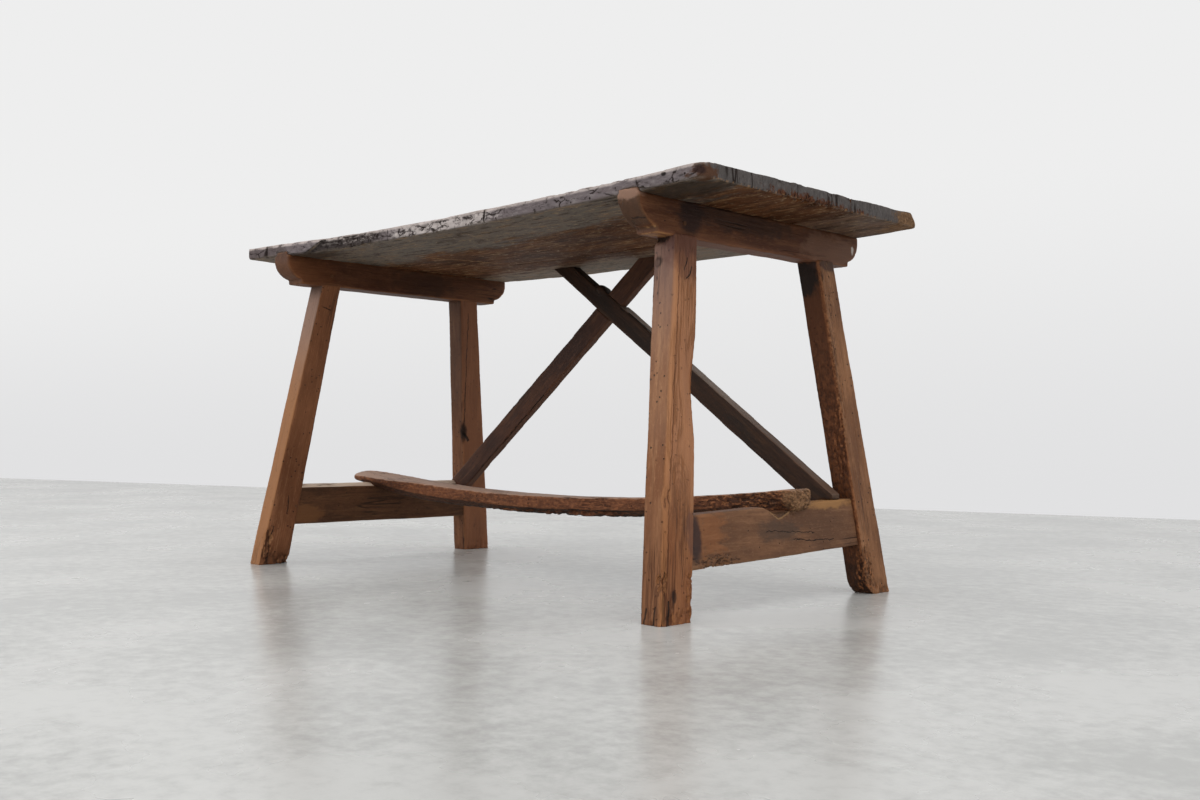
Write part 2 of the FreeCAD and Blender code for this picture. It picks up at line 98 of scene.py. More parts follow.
camera_data = bpy.data.cameras.new("camera")
camera_data.sensor_width = sensor_width
camera_data.lens = sensor_width * focal_length_pixels / picture_width_pixels
camera = bpy.data.objects.new("camera", camera_data)
bpy.context.scene.collection.objects.link(camera)
camera.matrix_world = Matrix.Translation(camera_place) @ Matrix((right, up, -ahead)).transposed().to_4x4()
bpy.context.scene.camera = camera
bpy.context.scene.view_settings.view_transform = "Standard"
print("camera lens", round(camera_data.lens, 2), "mm")

# %% [markdown]
# ## Sums of nodes
# Shader and geometry nodes are sums drawn as boxes and wires. Drawn one by one they fill pages, so a
# small class stands for a socket and lets Python write the sum: adding two of them adds a Math node, or a
# Vector Math node where one of them is a vector. Every other node comes from one method, `node`.

# %% The class that writes nodes
class Flow:
    """A socket of a node tree that can stand in a Python sum."""

    def __init__(self, tree, socket=None):
        self.tree = tree
        self.socket = socket

    def node(self, kind, settings=None, inputs=None, out=0):
        """Adds a node, sets it up, fills its inputs with numbers or links and gives one of its outputs."""
        made = self.tree.nodes.new(kind)
        for name, value in (settings or {}).items():
            setattr(made, name, value)
        for key, value in (inputs or {}).items():
            if isinstance(value, Flow):
                self.tree.links.new(value.socket, made.inputs[key])
            else:
                made.inputs[key].default_value = value
        return Flow(self.tree, made.outputs[out] if made.outputs else None)

    def other(self, out):
        """Another output of the same node."""
        return Flow(self.tree, self.socket.node.outputs[out])

    def maths(self, operation, first, second, out=0):
        """A Math node on two numbers, or a Vector Math node where one of the two is a vector."""
        pair = [first, second]
        vector = any(isinstance(one, Vector) or is_vector(one) for one in pair)
        if vector:
            pair = [Vector((one, one, one)) if isinstance(one, (int, float)) else one for one in pair]
        kind = "ShaderNodeVectorMath" if vector else "ShaderNodeMath"
        return self.node(kind, {"operation": operation}, dict(enumerate(pair)), out)

    def __add__(self, other):
        return self.maths("ADD", self, other)

    def __sub__(self, other):
        return self.maths("SUBTRACT", self, other)

    def __rsub__(self, other):
        return self.maths("SUBTRACT", other, self)

    def __mul__(self, other):
        return self.maths("MULTIPLY", self, other)

    def __abs__(self):
        return self.node("ShaderNodeMath", {"operation": "ABSOLUTE"}, {0: self})

    def sine(self):
        return self.node("ShaderNodeMath", {"operation": "SINE"}, {0: self})

    def times(self, way):
        """A fixed vector made this many times as long."""
        return self.node("ShaderNodeVectorMath", {"operation": "SCALE"}, {0: way, "Scale": self})

    def larger(self, other):
        return self.maths("MAXIMUM", self, other)

    def dot(self, other):
        return self.maths("DOT_PRODUCT", self, other, "Value")

    def length(self):
        return self.node("ShaderNodeVectorMath", {"operation": "LENGTH"}, {0: self}, "Value")

    def part(self, axis):
        """The x, y or z of a vector."""
        return self.node("ShaderNodeSeparateXYZ", {}, {0: self}, axis)

    def ramp(self, low, high):
        """Rises smoothly from 0 to 1 between two values, or falls where the first is the larger."""
        smooth = {"interpolation_type": "SMOOTHSTEP"}
        return self.node("ShaderNodeMapRange", smooth, {0: self, 1: low, 2: high})

    def squeeze(self, grain, stretch):
        """A place drawn together along the grain, so that what is read there is stretched that often."""
        along = self.dot(grain) * (1 - 1 / stretch)
        return self - along.times(grain)

    def noise(self, size, detail=2.0, rough=0.5):
        """Cloudy noise from 0 to 1 whose lumps have about that size."""
        wanted = {"Vector": self, "Scale": 1 / size, "Detail": detail, "Roughness": rough}
        return self.node("ShaderNodeTexNoise", {}, wanted)

    def away_from(self, centre, radii):
        """How far a place is from a point, where a reach along x, y and z counts as 1."""
        return ((self - Vector(centre)) * Vector(1 / radius for radius in radii)).length()

    def spot(self, centre, radii):
        """1 at a point, falling to 0 at an ellipsoid about it."""
        return self.away_from(centre, radii).ramp(1, 0)


def is_vector(value):
    """True for a socket that carries a vector."""
    return isinstance(value, Flow) and value.socket.type in ("VECTOR", "RGBA")


print("nodes are written with", Flow.__name__)

# %% [markdown]
# ## Edit-mode helpers
# Every timber begins as a cube that is added at its size and place. A new cube is all selected, and so is
# the frame after loading, so everything is deselected first. In edit mode a test in code picks vertices,
# edges or faces by where they are, which takes the place of clicking on them.

# %% Picking
def pick(timber, kind, test):
    """Selects the vertices, edges or faces that pass a test."""
    bpy.ops.mesh.select_mode(type={"verts": "VERT", "edges": "EDGE", "faces": "FACE"}[kind])
    bpy.ops.mesh.select_all(action="DESELECT")
    shape = bmesh.from_edit_mesh(timber.data)
    for item in getattr(shape, kind):
        if test(item):
            item.select_set(True)
    shape.select_flush_mode()
    bmesh.update_edit_mesh(timber.data)


def middle_of(item):
    """The middle of an edge or a face."""
    return sum((vert.co for vert in item.verts), Vector()) / len(item.verts)


def runs_along(edge, axis):
    """True for an edge that runs mostly along an axis."""
    way = edge.verts[1].co - edge.verts[0].co
    return abs(way[axis]) > 0.7 * way.length


print("picking ready")

# %% Cutting and moving
def slice_at(point, normal):
    """Adds a loop of edges all round where a plane meets the piece."""
    bpy.ops.mesh.select_all(action="SELECT")
    bpy.ops.mesh.bisect(plane_co=point, plane_no=normal)


def saw_off(point, normal):
    """Takes away all that lies past a plane and closes the cut."""
    bpy.ops.mesh.select_all(action="SELECT")
    bpy.ops.mesh.bisect(plane_co=point, plane_no=normal, use_fill=True, clear_outer=True)


def bevel(offset, segments=1, **shape):
    """Bevels the picked edges."""
    bpy.ops.mesh.bevel(offset=offset, segments=segments, affect="EDGES", **shape)


def move(x, y, z):
    """Moves what is picked."""
    bpy.ops.transform.translate(value=(x, y, z))


def leave_edit():
    """Goes back to object mode."""
    bpy.ops.object.mode_set(mode="OBJECT")


print("cutting and moving ready")

# %% Bars and modifiers
def beam(name, start, end, size, axis):
    """A square bar between two points, its two end faces square to an axis and moved onto the points."""
    length = end[axis] - start[axis]
    scale = Vector(size)
    scale[axis] = length
    middle = (start + end) / 2
    bpy.ops.object.select_all(action="DESELECT")
    bpy.ops.mesh.primitive_cube_add(size=1, location=middle, scale=scale)
    bpy.ops.object.transform_apply(location=True, rotation=True, scale=True)
    timber = bpy.context.object
    timber.name = name
    timber.data.name = name
    bpy.ops.object.mode_set(mode="EDIT")
    for end_point, sign in ((start, -1), (end, 1)):
        pick(timber, "verts", lambda vert: (vert.co[axis] - middle[axis]) * sign > 0)
        shift = end_point - middle
        shift[axis] = 0
        move(*shift)
    return timber


def use_modifier(timber, kind, **settings):
    """Adds a modifier, sets it up and applies it."""
    bpy.ops.object.select_all(action="DESELECT")
    timber.select_set(True)
    bpy.context.view_layer.objects.active = timber
    modifier = timber.modifiers.new(kind.lower(), kind)
    for name, value in settings.items():
        setattr(modifier, name, value)
    bpy.ops.object.modifier_apply(modifier=modifier.name)


def carve(timber, cutter):
    """Cuts the shape of another mesh out of a timber."""
    use_modifier(timber, "BOOLEAN", operation="DIFFERENCE", object=cutter, solver="EXACT")


print("bars and modifiers ready")

# %% [markdown]
# ## Seasoning a timber
# A sawn bar turns into an old timber in three steps. A voxel remesh gives it an even skin, as a sculptor
# would want, and rounds its arrises a little. A short smoothing takes away the steps of the voxels. Then
# geometry nodes wear it: a blurred copy of the skin lies deeper than the skin only at the arrises, so the
# distance between the two finds them without any painting, and there the timber is rounded and chipped.
# Slow noise along the grain gives the flats the waves of the adze. The same mask is kept as an attribute,
# and the finish reads it later to rub the colour off the arrises.

# %% Wear in nodes
hewn_lump = 75 * mm
ripple_lump = 8 * mm
ripple_depth = 0.25 * mm
chip_lump = 16 * mm
blur_steps = 6
noise_spread = 4.0
arris_depth = (0.2 * mm, 1.6 * mm)
arris_rounding = 0.4
joint_clear = (3 * mm, 12 * mm)
floor_limit = Vector((-10, -10, 0))


def wear_nodes(name, grain, hewn, chip, dents, bites, joint_y):
    """The geometry nodes that wear one timber."""
    group = bpy.data.node_groups.new(name, "GeometryNodeTree")
    group.interface.new_socket("Geometry", in_out="INPUT", socket_type="NodeSocketGeometry")
    group.interface.new_socket("Geometry", in_out="OUTPUT", socket_type="NodeSocketGeometry")
    start = Flow(group)
    skin = start.node("NodeGroupInput")
    place = start.node("GeometryNodeInputPosition")
    normal = start.node("GeometryNodeInputNormal")
    soft = start.node("GeometryNodeBlurAttribute", {"data_type": "FLOAT_VECTOR"}, {0: place, 1: blur_steps})
    arris = (place - soft).dot(normal).ramp(*arris_depth)
    if joint_y is not None:
        arris = arris * abs(place.part("Y") - joint_y).ramp(*joint_clear)
    broken = place.squeeze(grain, 3).noise(chip_lump, 3)
    sink = arris * broken.ramp(0.5, 0.7) * chip
    sink = sink - (place.squeeze(grain, 2.5).noise(hewn_lump) - 0.5) * (noise_spread * hewn)
    sink = sink - (place.squeeze(grain, 6).noise(ripple_lump) - 0.5) * (noise_spread * ripple_depth)
    for centre, radii, depth in dents:
        sink = sink + place.spot(centre, radii) * depth
    bitten = arris * 0
    for centre, radii, depth, lump in bites:
        mask = place.spot(centre, radii).ramp(0, 0.6)
        mask = mask * place.squeeze(grain, 2).noise(lump, 3).ramp(0.4, 0.62)
        bitten = bitten.larger(mask)
        sink = sink + mask * depth
    worn = place + (soft - place) * (arris * broken * (2 * arris_rounding)) - normal * sink
    worn = worn.larger(floor_limit)
    per_point = {"data_type": "FLOAT", "domain": "POINT"}
    for attribute, value in (("arris", arris), ("bite", bitten)):
        wanted = {0: skin, "Name": attribute, "Value": value}
        skin = start.node("GeometryNodeStoreNamedAttribute", per_point, wanted)
    moved = start.node("GeometryNodeSetPosition", {}, {0: skin, "Position": worn})
    start.node("NodeGroupOutput", {}, {0: moved})
    return group


print("wear is written in nodes")

# %% Seasoning
def in_metres(spots):
    """Dents or bites written in millimetres."""
    return [
        (Vector(centre) * mm, Vector(radii) * mm, *(size * mm for size in sizes))
        for centre, radii, *sizes in spots
    ]


def season(timber, node, grain, skin, hewn=1.0 * mm, chip=1.6 * mm, dents=(), bites=(), joint_y=None):
    """Gives a sawn shape its worn skin and puts it in the place of its solid."""
    use_modifier(timber, "REMESH", mode="VOXEL", voxel_size=skin)
    use_modifier(timber, "SMOOTH", factor=0.5, iterations=1)
    group = wear_nodes(timber.name, grain, hewn, chip, in_metres(dents), in_metres(bites), joint_y)
    use_modifier(timber, "NODES", node_group=group)
    bpy.data.node_groups.remove(group)
    bpy.ops.object.shade_smooth()
    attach(timber, "root")
    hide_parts(node)
    print(timber.name, "faces", len(timber.data.polygons))


print("seasoning ready")

# %% [markdown]
# ## Legs
# Four posts splay out both ways and grow wider across the table towards the foot. A bar is added along z,
# its upper end is moved in over the foot and scaled to the smaller size, and its long edges are bevelled.
# The foot of the right back leg has lost its front corner, so that edge gets a wide bevel first, and the
# two right legs have a chamfer down the corner that faces the room. The left legs have crept a few
# millimetres off their solids. Wear takes a little off every side, so each leg starts that much too
# thick.

# %% Leg shapes
cleat_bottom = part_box("left_cleat")[0].z
leg_top = Vector((568 * mm, 217 * mm, cleat_bottom))
leg_foot = Vector((638 * mm, 314 * mm, 0))
leg_top_size = (48 * mm, 51 * mm)
leg_foot_size = (42 * mm, 77 * mm)
leg_arris = 2.5 * mm
leg_swell = {(1, -1): 3 * mm, (1, 1): 2.5 * mm, (-1, -1): 1.2 * mm, (-1, 1): 3.5 * mm}
leg_chamfer = {(1, -1): 7 * mm, (1, 1): 4 * mm}
foot_spare = 2 * mm
foot_drift = {(-1, -1): Vector((-2.5 * mm, -4 * mm, 0)), (-1, 1): Vector((-3 * mm, -mm, 0))}
head_drift = {(-1, 1): Vector((-4 * mm, -mm, 0))}
let_in = 4 * mm
worn_foot = 32 * mm
X, Y, Z = 0, 1, 2
side_names = {-1: "left", 1: "right"}
depth_names = {-1: "front", 1: "back"}


def on_side(point, side, depth):
    """A point of the right back quarter moved to another quarter of the table."""
    return Vector((side * point.x, depth * point.y, point.z))


def make_leg(side, depth):
    """One leg as a sawn shape."""
    foot = on_side(leg_foot, side, depth)
    head = on_side(leg_top, side, depth)
    rise = (head - foot) / cleat_bottom
    head = head + rise * let_in + head_drift.get((side, depth), Vector())
    foot = foot - rise * foot_spare + foot_drift.get((side, depth), Vector())
    name = side_names[side] + "_" + depth_names[depth] + "_leg"
    spare = 2 * leg_swell[side, depth]
    foot_x, foot_y = (size + spare for size in leg_foot_size)
    top_x, top_y = (size + spare for size in leg_top_size)
    timber = beam(name + "_hewn", foot, head, (foot_x, foot_y, 0), Z)
    pick(timber, "verts", lambda vert: vert.co.z > cleat_bottom / 2)
    bpy.ops.transform.resize(value=(top_x / foot_x, top_y / foot_y, 1), center_override=head)
    if (side, depth) == (1, 1):
        pick(timber, "edges", lambda edge: middle_of(edge).z < mm
             and middle_of(edge).y < foot.y - leg_arris)
        bevel(worn_foot, 6)
    middle = (foot + head) / 2
    if (side, depth) in leg_chamfer:
        pick(timber, "edges", lambda edge: runs_along(edge, Z) and middle_of(edge).x > middle.x
             and middle_of(edge).y < middle.y)
        bevel(leg_chamfer[side, depth])
    pick(timber, "edges", lambda edge: runs_along(edge, Z))
    bevel(leg_arris)
    leave_edit()
    return name, timber, (head - foot).normalized()


legs = {}
for side in (-1, 1):
    for depth in (-1, 1):
        legs[side, depth] = make_leg(side, depth)
print("legs:", len(legs))

# %% [markdown]
# ## Cleats
# A cleat is a bearer across the underside. Its lower ends are rounded above a small step, and a dovetail
# tongue on its back slides into the boards. The rounding is a bevel of the lower end edges, the step is
# the bottom face pushed down, and the tongue is the top face drawn narrower, pushed up and widened again.
# The left cleat was hewn from a thicker piece than the right one.

# %% Cleat shapes
half_length = 731 * mm
half_width = 336.5 * mm
top_height = 770 * mm
underside_height = 744 * mm
top_bow = 14 * mm
cleat_x = 565 * mm
cleat_thickness = {-1: 60 * mm, 1: 51 * mm}
cleat_inner_x = 541 * mm
cleat_overhang = 3 * mm
cleat_step = 11 * mm
cleat_round = {(-1, -1): 38 * mm, (-1, 1): 38 * mm, (1, -1): 50 * mm, (1, 1): 36 * mm}
cleat_skew = {-1: 0, 1: -5 * mm}
tongue_neck = 40 * mm
tongue_head = 46 * mm
tongue_height = 8 * mm


def dip(x):
    """How far the bow has lowered the top at a distance from the middle."""
    return top_bow * (1 - (x / half_length) ** 2)


seat_height = underside_height - dip(cleat_x)


def push_face(shift, widen):
    """Extrudes the picked faces by a shift, then scales them along x."""
    bpy.ops.mesh.extrude_region_move(TRANSFORM_OT_translate={"value": shift})
    bpy.ops.transform.resize(value=(widen, 1, 1))


def make_cleat(side):
    """One cleat as a sawn shape."""
    low = cleat_bottom + cleat_step
    thickness = cleat_thickness[side]
    reach = half_width + cleat_overhang
    back = Vector((side * (cleat_inner_x + thickness / 2), reach, (low + seat_height) / 2))
    front = Vector((back.x + cleat_skew[side], -reach, back.z))
    timber = beam(side_names[side] + "_cleat_hewn", front, back, (thickness, 0, seat_height - low), Y)
    for depth in (-1, 1):
        pick(timber, "edges", lambda edge: runs_along(edge, X) and middle_of(edge).z < front.z
             and middle_of(edge).y * depth > reach - mm)
        bevel(cleat_round[side, depth], 8, profile=0.45)
    pick(timber, "faces", lambda face: face.normal.z < -0.99)
    bpy.ops.mesh.extrude_region_move(TRANSFORM_OT_translate={"value": (0, 0, -cleat_step)})
    pick(timber, "faces", lambda face: face.normal.z > 0.99)
    push_face((0, 0, 0), tongue_neck / thickness)
    push_face((0, 0, tongue_height), tongue_head / tongue_neck)
    leave_edit()
    return timber


cleats = {side: make_cleat(side) for side in (-1, 1)}
print("cleat seat at", round(seat_height, 4))

# %% [markdown]
# ## Boards of the top
# Two boards meet at a straight joint, and both sag in the middle. The sag is one proportional edit: the
# loop at mid-length is moved down, and the inverse square falloff carries the rest along in an exact
# parabola. The housings for the cleats are cut with the cleats themselves, and the back corner at the
# right end is sawn off along a slant where it has been worn away. Part of the front edge has been gnawed
# away behind a slanting step, so a bar with a slanted end is cut out of it.

# %% Board shapes
joint_y = 97.5 * mm
loop_spacing = 61 * mm
board_spare = 1.2 * mm
left_corner = 5 * mm
right_corner = {-1: 28 * mm, 1: 8 * mm}
worn_corner = Vector((110 * mm, 82 * mm, 20 * mm))


def slice_along(axis, low, high, spacing):
    """Loops at an even spacing, one of them at zero."""
    for step in range(math.ceil(low / spacing), math.floor(high / spacing) + 1):
        point = Vector()
        normal = Vector()
        point[axis] = step * spacing
        normal[axis] = 1
        if low + mm < point[axis] < high - mm:
            slice_at(point, normal)


def sag(timber, depth, reach):
    """Lowers the loop at the middle and lets the rest follow in a parabola as far as a reach."""
    pick(timber, "verts", lambda vert: abs(vert.co.x) < mm)
    bpy.ops.transform.translate(
        value=(0, 0, -depth), use_proportional_edit=True,
        proportional_edit_falloff="INVERSE_SQUARE", proportional_size=reach,
    )


def make_board(name, front_y, back_y):
    """One board of the top as a sawn shape."""
    far = half_length + board_spare
    thickness = top_height - underside_height + 2 * board_spare
    left_end = Vector((-far, (front_y + back_y) / 2, (underside_height + top_height) / 2))
    right_end = Vector((far, left_end.y, left_end.z))
    timber = beam(name, left_end, right_end, (0, back_y - front_y, thickness), X)
    slice_along(X, -far, far, loop_spacing)
    sag(timber, top_bow, far)
    depth = -1 if front_y < 0 else 1
    for end, radius in ((-far, left_corner), (far, right_corner[depth])):
        pick(timber, "edges", lambda edge: runs_along(edge, Z) and abs(middle_of(edge).x - end) < mm
             and abs(middle_of(edge).y) > half_width - mm)
        bevel(radius, 6)
    if depth == 1:
        reach = Vector((half_length, half_width, top_height - worn_corner.z))
        slant = Vector((1 / worn_corner.x, 1 / worn_corner.y, 1 / worn_corner.z))
        saw_off(reach, slant)
    leave_edit()
    for cleat in cleats.values():
        carve(timber, cleat)
    return timber


front_board = make_board("top_front_board_hewn", -half_width - board_spare, joint_y)
back_board = make_board("top_back_board_hewn", joint_y, half_width + board_spare)
print("boards meet at y", joint_y)

# %% Gnawed front edge
gnawed_start = Vector((-495 * mm, -346 * mm, 746 * mm))
gnawed_end = Vector((-80 * mm, -352 * mm, 746 * mm))
gnawed_size = Vector((0, 26 * mm, 40 * mm))
gnawed_slant = 120 * mm
gnawed_undercut = 7 * mm

gnawed = beam("gnawed", gnawed_start, gnawed_end, gnawed_size, X)
gnawed_middle = (gnawed_start + gnawed_end) / 2
pick(gnawed, "verts", lambda vert: vert.co.x < gnawed_middle.x and vert.co.z > gnawed_start.z)
move(gnawed_slant, 0, 0)
pick(gnawed, "verts", lambda vert: vert.co.y > -half_width - mm and vert.co.z < gnawed_start.z)
move(0, gnawed_undercut, 0)
leave_edit()
carve(front_board, gnawed)
bpy.data.objects.remove(gnawed)
print("edge gnawed from x", round(gnawed_start.x, 3), "to", round(gnawed_end.x, 3))

# %% [markdown]
# ## Stretchers
# A stretcher joins the two legs of a trestle and leans with them. The left one is taller, and its upper
# right arris is worn to a slope, which is a bevel. The right one climbs to the back and has a hollow in
# its upper edge where the rail lies and where years of boots have worn it. Loops are cut across it at the
# points of the hollow's outline, and each loop's upper corners are moved down to the outline.

# %% Stretcher shapes
stretcher_thickness = 35 * mm
stretcher_low = {-1: 94 * mm, 1: 83 * mm}
stretcher_height = {-1: 97 * mm, 1: 94 * mm}
stretcher_worn = {-1: 9 * mm, 1: 2 * mm}
stretcher_climb = {-1: 0.0, 1: 19 * mm}
hollow_line = ((-42, 186), (-24, 180), (-4, 173), (19, 175), (54, 179), (99, 190))


def leg_axis(z):
    """Where the axis of the right back leg is at a height."""
    return leg_foot.lerp(leg_top, z / leg_top.z)


def stretcher_middle(side, y):
    """The middle of a stretcher at a distance from the middle of the table."""
    climbed = stretcher_climb[side] * (y / (2 * leg_foot.y) + 0.5)
    z = stretcher_low[side] + climbed + stretcher_height[side] / 2
    return Vector((side * leg_axis(z).x, y, z))


def make_stretcher(side):
    """One stretcher as a sawn shape."""
    reach = leg_axis(stretcher_middle(side, 0).z).y
    front = stretcher_middle(side, -reach)
    back = stretcher_middle(side, reach)
    size = (stretcher_thickness, 0, stretcher_height[side])
    timber = beam(side_names[side] + "_stretcher_hewn", front, back, size, Y)
    if side == 1:
        for y, _ in hollow_line:
            slice_at((0, y * mm, 0), (0, 1, 0))
        for y, z in hollow_line:
            top_z = stretcher_middle(side, y * mm).z + stretcher_height[side] / 2
            pick(timber, "verts", lambda vert: abs(vert.co.y - y * mm) < mm and vert.co.z > top_z - mm)
            move(0, 0, z * mm - top_z)
    lean = side * (leg_foot.x - leg_top.x) * stretcher_height[side] / leg_top.z
    pick(timber, "verts", lambda vert: vert.co.z > stretcher_middle(side, vert.co.y).z)
    move(-lean / 2, 0, 0)
    pick(timber, "verts", lambda vert: vert.co.z < stretcher_middle(side, vert.co.y).z)
    move(lean / 2, 0, 0)
    pick(timber, "edges", lambda edge: runs_along(edge, Y)
         and middle_of(edge).x > stretcher_middle(side, 0).x
         and middle_of(edge).z > stretcher_middle(side, middle_of(edge).y).z)
    bevel(stretcher_worn[side])
    leave_edit()
    return timber


stretchers = {side: make_stretcher(side) for side in (-1, 1)}
print("stretchers:", len(stretchers))

# %% [markdown]
# ## Foot rail
# A riven slab lies across the stretchers. It is broad at its left tip, narrower at the right, and it has
# sagged so far that it could never be drawn from a straight bar without bending it: the same proportional
# edit as for the boards does that. Towards the left tip, loop by loop, its lower corners are lifted,
# which thins it, its upper front corner droops, and its back is drawn forward. Then the tip is rounded,
# and the lower edges are hewn away.

# %% Rail shape
rail_left = Vector((-679 * mm, -17 * mm, 0))
rail_right = Vector((650 * mm, 62 * mm, 0))
rail_mid_height = 180 * mm
rail_bow = 38 * mm
rail_bow_reach = 640 * mm
rail_curve = rail_bow / rail_bow_reach ** 2
rail_thickness = 41 * mm
rail_left_width = 90 * mm
rail_right_width = 72 * mm
rail_tip = 22 * mm

reach = -rail_left.x
end_height = rail_mid_height + rail_curve * reach ** 2 - rail_thickness / 2
rail_left.z = end_height
rail_right.z = end_height
rail = beam("foot_rail_hewn", rail_left, rail_right, (0, rail_left_width, rail_thickness), X)
pick(rail, "verts", lambda vert: vert.co.x > 0)
bpy.ops.transform.resize(value=(1, rail_right_width / rail_left_width, 1), center_override=rail_right)
slice_along(X, rail_left.x + rail_tip, rail_right.x, loop_spacing)
sag(rail, rail_curve * reach ** 2, reach)
print("rail ends at height", round(end_height, 4))

# %% Rail ends
rail_hewn = 16 * mm
rail_tip_slant = 38 * mm
rail_tip_rise = 18 * mm
rail_tip_droop = 13 * mm
rail_tip_round = 4 * mm
rail_hewn_start = 60 * mm
rail_taper = 260 * mm
rail_end_round = 11 * mm

rail_way = (rail_right - rail_left) / (rail_right.x - rail_left.x)
corners = bmesh.from_edit_mesh(rail.data).verts
taper_steps = {round(vert.co.x, 4) for vert in corners if vert.co.x < rail_left.x + rail_taper}
for x in sorted(taper_steps):
    share = 1 - (x - rail_left.x) / rail_taper
    middle = rail_left + rail_way * (x - rail_left.x)
    middle_z = end_height - rail_curve * (reach ** 2 - x ** 2)
    pick(rail, "verts", lambda vert: abs(vert.co.x - x) < mm and vert.co.z < middle_z)
    move(0, 0, rail_tip_rise * share ** 2)
    pick(rail, "verts", lambda vert: abs(vert.co.x - x) < mm and vert.co.y < middle.y
         and vert.co.z > middle_z)
    move(0, 0, -rail_tip_droop * share)
    pick(rail, "verts", lambda vert: abs(vert.co.x - x) < mm and vert.co.y > middle.y)
    move(0, -rail_tip_slant * share ** 3, 0)
pick(rail, "edges", lambda edge: runs_along(edge, Z) and middle_of(edge).x < rail_left.x + mm)
bevel(rail_tip, 6)
pick(rail, "edges", lambda edge: middle_of(edge).x < rail_left.x + rail_tip and len(edge.link_faces) == 2
     and edge.calc_face_angle() > 1 and not runs_along(edge, Z))
bevel(rail_tip_round, 3)
pick(rail, "edges", lambda edge: middle_of(edge).x > rail_right.x - mm)
bevel(rail_end_round, 3)
pick(rail, "edges", lambda edge: runs_along(edge, X) and middle_of(edge).x > rail_left.x + rail_hewn_start
     and min(face.normal.z for face in edge.link_faces) < -0.7
     and max(face.normal.z for face in edge.link_faces) > -0.5)
bevel(rail_hewn)
leave_edit()
print("rail tip thinned over", rail_taper)

# %% [markdown]
# ## Short peg
# The peg at the left end of the rail is flush with the rail, so where the rail droops the peg is shorter
# than its solid. It is a cylinder whose upper arris is rounded by a small bevel, as hammering rounds it.

# %% Short peg
peg_round = 0.8 * mm
low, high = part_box("left_rail_peg")
middle = (low + high) / 2
peg_top = high.z - rail_tip_droop * (1 - (middle.x - rail_left.x) / rail_taper) / 2
middle.z = (low.z + peg_top) / 2
bpy.ops.object.select_all(action="DESELECT")
bpy.ops.mesh.primitive_cylinder_add(radius=(high.x - low.x) / 2, depth=peg_top - low.z, location=middle)
bpy.ops.object.transform_apply(location=True, rotation=True, scale=True)
short_peg = bpy.context.object
short_peg.name = "left_rail_peg_short"
bpy.ops.object.mode_set(mode="EDIT")
pick(short_peg, "edges", lambda edge: middle_of(edge).z > peg_top - mm / 2)
bevel(peg_round, 2)
leave_edit()
bpy.ops.object.shade_smooth_by_angle()
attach(short_peg, "root")
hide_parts("left_rail_peg")
print("peg ends at height", round(peg_top, 4))

# %% [markdown]
# ## Crossed braces
# Two flat bars rise from the stretchers, cross and meet the underside. They stand in one upright plane
# that is a little skew to the table, and each gives up half of its thickness where they cross. The bars
# are added longer than they are, the crossing is cut with a second, thinner bar, the heads are sawn to
# the underside and the feet are notched over the stretchers with the stretchers themselves. The head of
# the right brace is worn narrower on its upper side, so its corners there are lowered past a pair of
# loops.

# %% Brace lines
brace_left_y = 222 * mm
brace_right_y = 186 * mm
brace_reach = 619 * mm
brace_turn = math.atan2(brace_right_y - brace_left_y, 2 * brace_reach)
brace_mid_y = (brace_left_y + brace_right_y) / 2
brace_thickness = {-1: 22 * mm, 1: 28 * mm}
left_brace_back = 2 * mm
brace_spare = 60 * mm
brace_lines = {
    -1: (Vector((-593 * mm, 0, 183 * mm)), Vector((130 * mm, 0, 730.4 * mm)), 52 * mm),
    1: (Vector((-168 * mm, 0, 730.7 * mm)), Vector((608 * mm, 0, 192 * mm)), 47 * mm),
}
brace_front = {-1: left_brace_back, 1: 0.0}
lap = (brace_thickness[-1] + left_brace_back) / 2


def brace_point(point, behind):
    """A point of the plane of the braces, some way behind its front, in the frame of the table."""
    x = point.x * math.cos(brace_turn) - behind * math.sin(brace_turn)
    y = brace_mid_y + point.x * math.sin(brace_turn) + behind * math.cos(brace_turn)
    return Vector((x, y, point.z))


def brace_bar(name, side, front, back):
    """A straight bar along one brace between two depths, longer than the brace."""
    start, end, width = brace_lines[side]
    way = (end - start).normalized()
    behind = (front + back) / 2
    first = brace_point(start - way * brace_spare, behind)
    last = brace_point(end + way * brace_spare, behind)
    bar = beam(name, first, last, (0, back - front, width / abs(way.x)), X)
    leave_edit()
    return bar


print("braces turned by", round(math.degrees(brace_turn), 2), "degrees")

# %% Brace shapes
foot_inset = 8 * mm
worn_head = 9 * mm
worn_head_steps = (-58 * mm, -46 * mm)


def make_brace(side):
    """One brace as a sawn shape, halved where it crosses the other."""
    front = brace_front[side]
    timber = brace_bar(side_names[side] + "_brace_hewn", side, front, front + brace_thickness[side])
    if side == 1:
        bpy.ops.object.mode_set(mode="EDIT")
        for x in worn_head_steps:
            slice_at((x, 0, 0), (1, 0, 0))
        start, end, _ = brace_lines[side]
        pick(timber, "verts", lambda vert: vert.co.x < worn_head_steps[0] + mm
             and vert.co.z > start.z + (vert.co.x - start.x) * (end.z - start.z) / (end.x - start.x))
        move(0, 0, -worn_head)
        leave_edit()
    depths = {-1: (-brace_spare, lap), 1: (lap, brace_spare)}
    cutter = brace_bar("brace_cutter", -side, *depths[side])
    carve(timber, cutter)
    bpy.data.objects.remove(cutter)
    bpy.context.view_layer.objects.active = timber
    bpy.ops.object.mode_set(mode="EDIT")
    seat = stretcher_middle(side, brace_mid_y)
    saw_off(seat + Vector((side * (stretcher_thickness / 2 - foot_inset), 0, 0)), (side, 0, 0))
    saw_off((0, 0, underside_height - top_bow + mm), (0, 0, 1))
    leave_edit()
    carve(timber, stretchers[side])
    return timber


braces = {side: make_brace(side) for side in (-1, 1)}
print("braces:", len(braces))

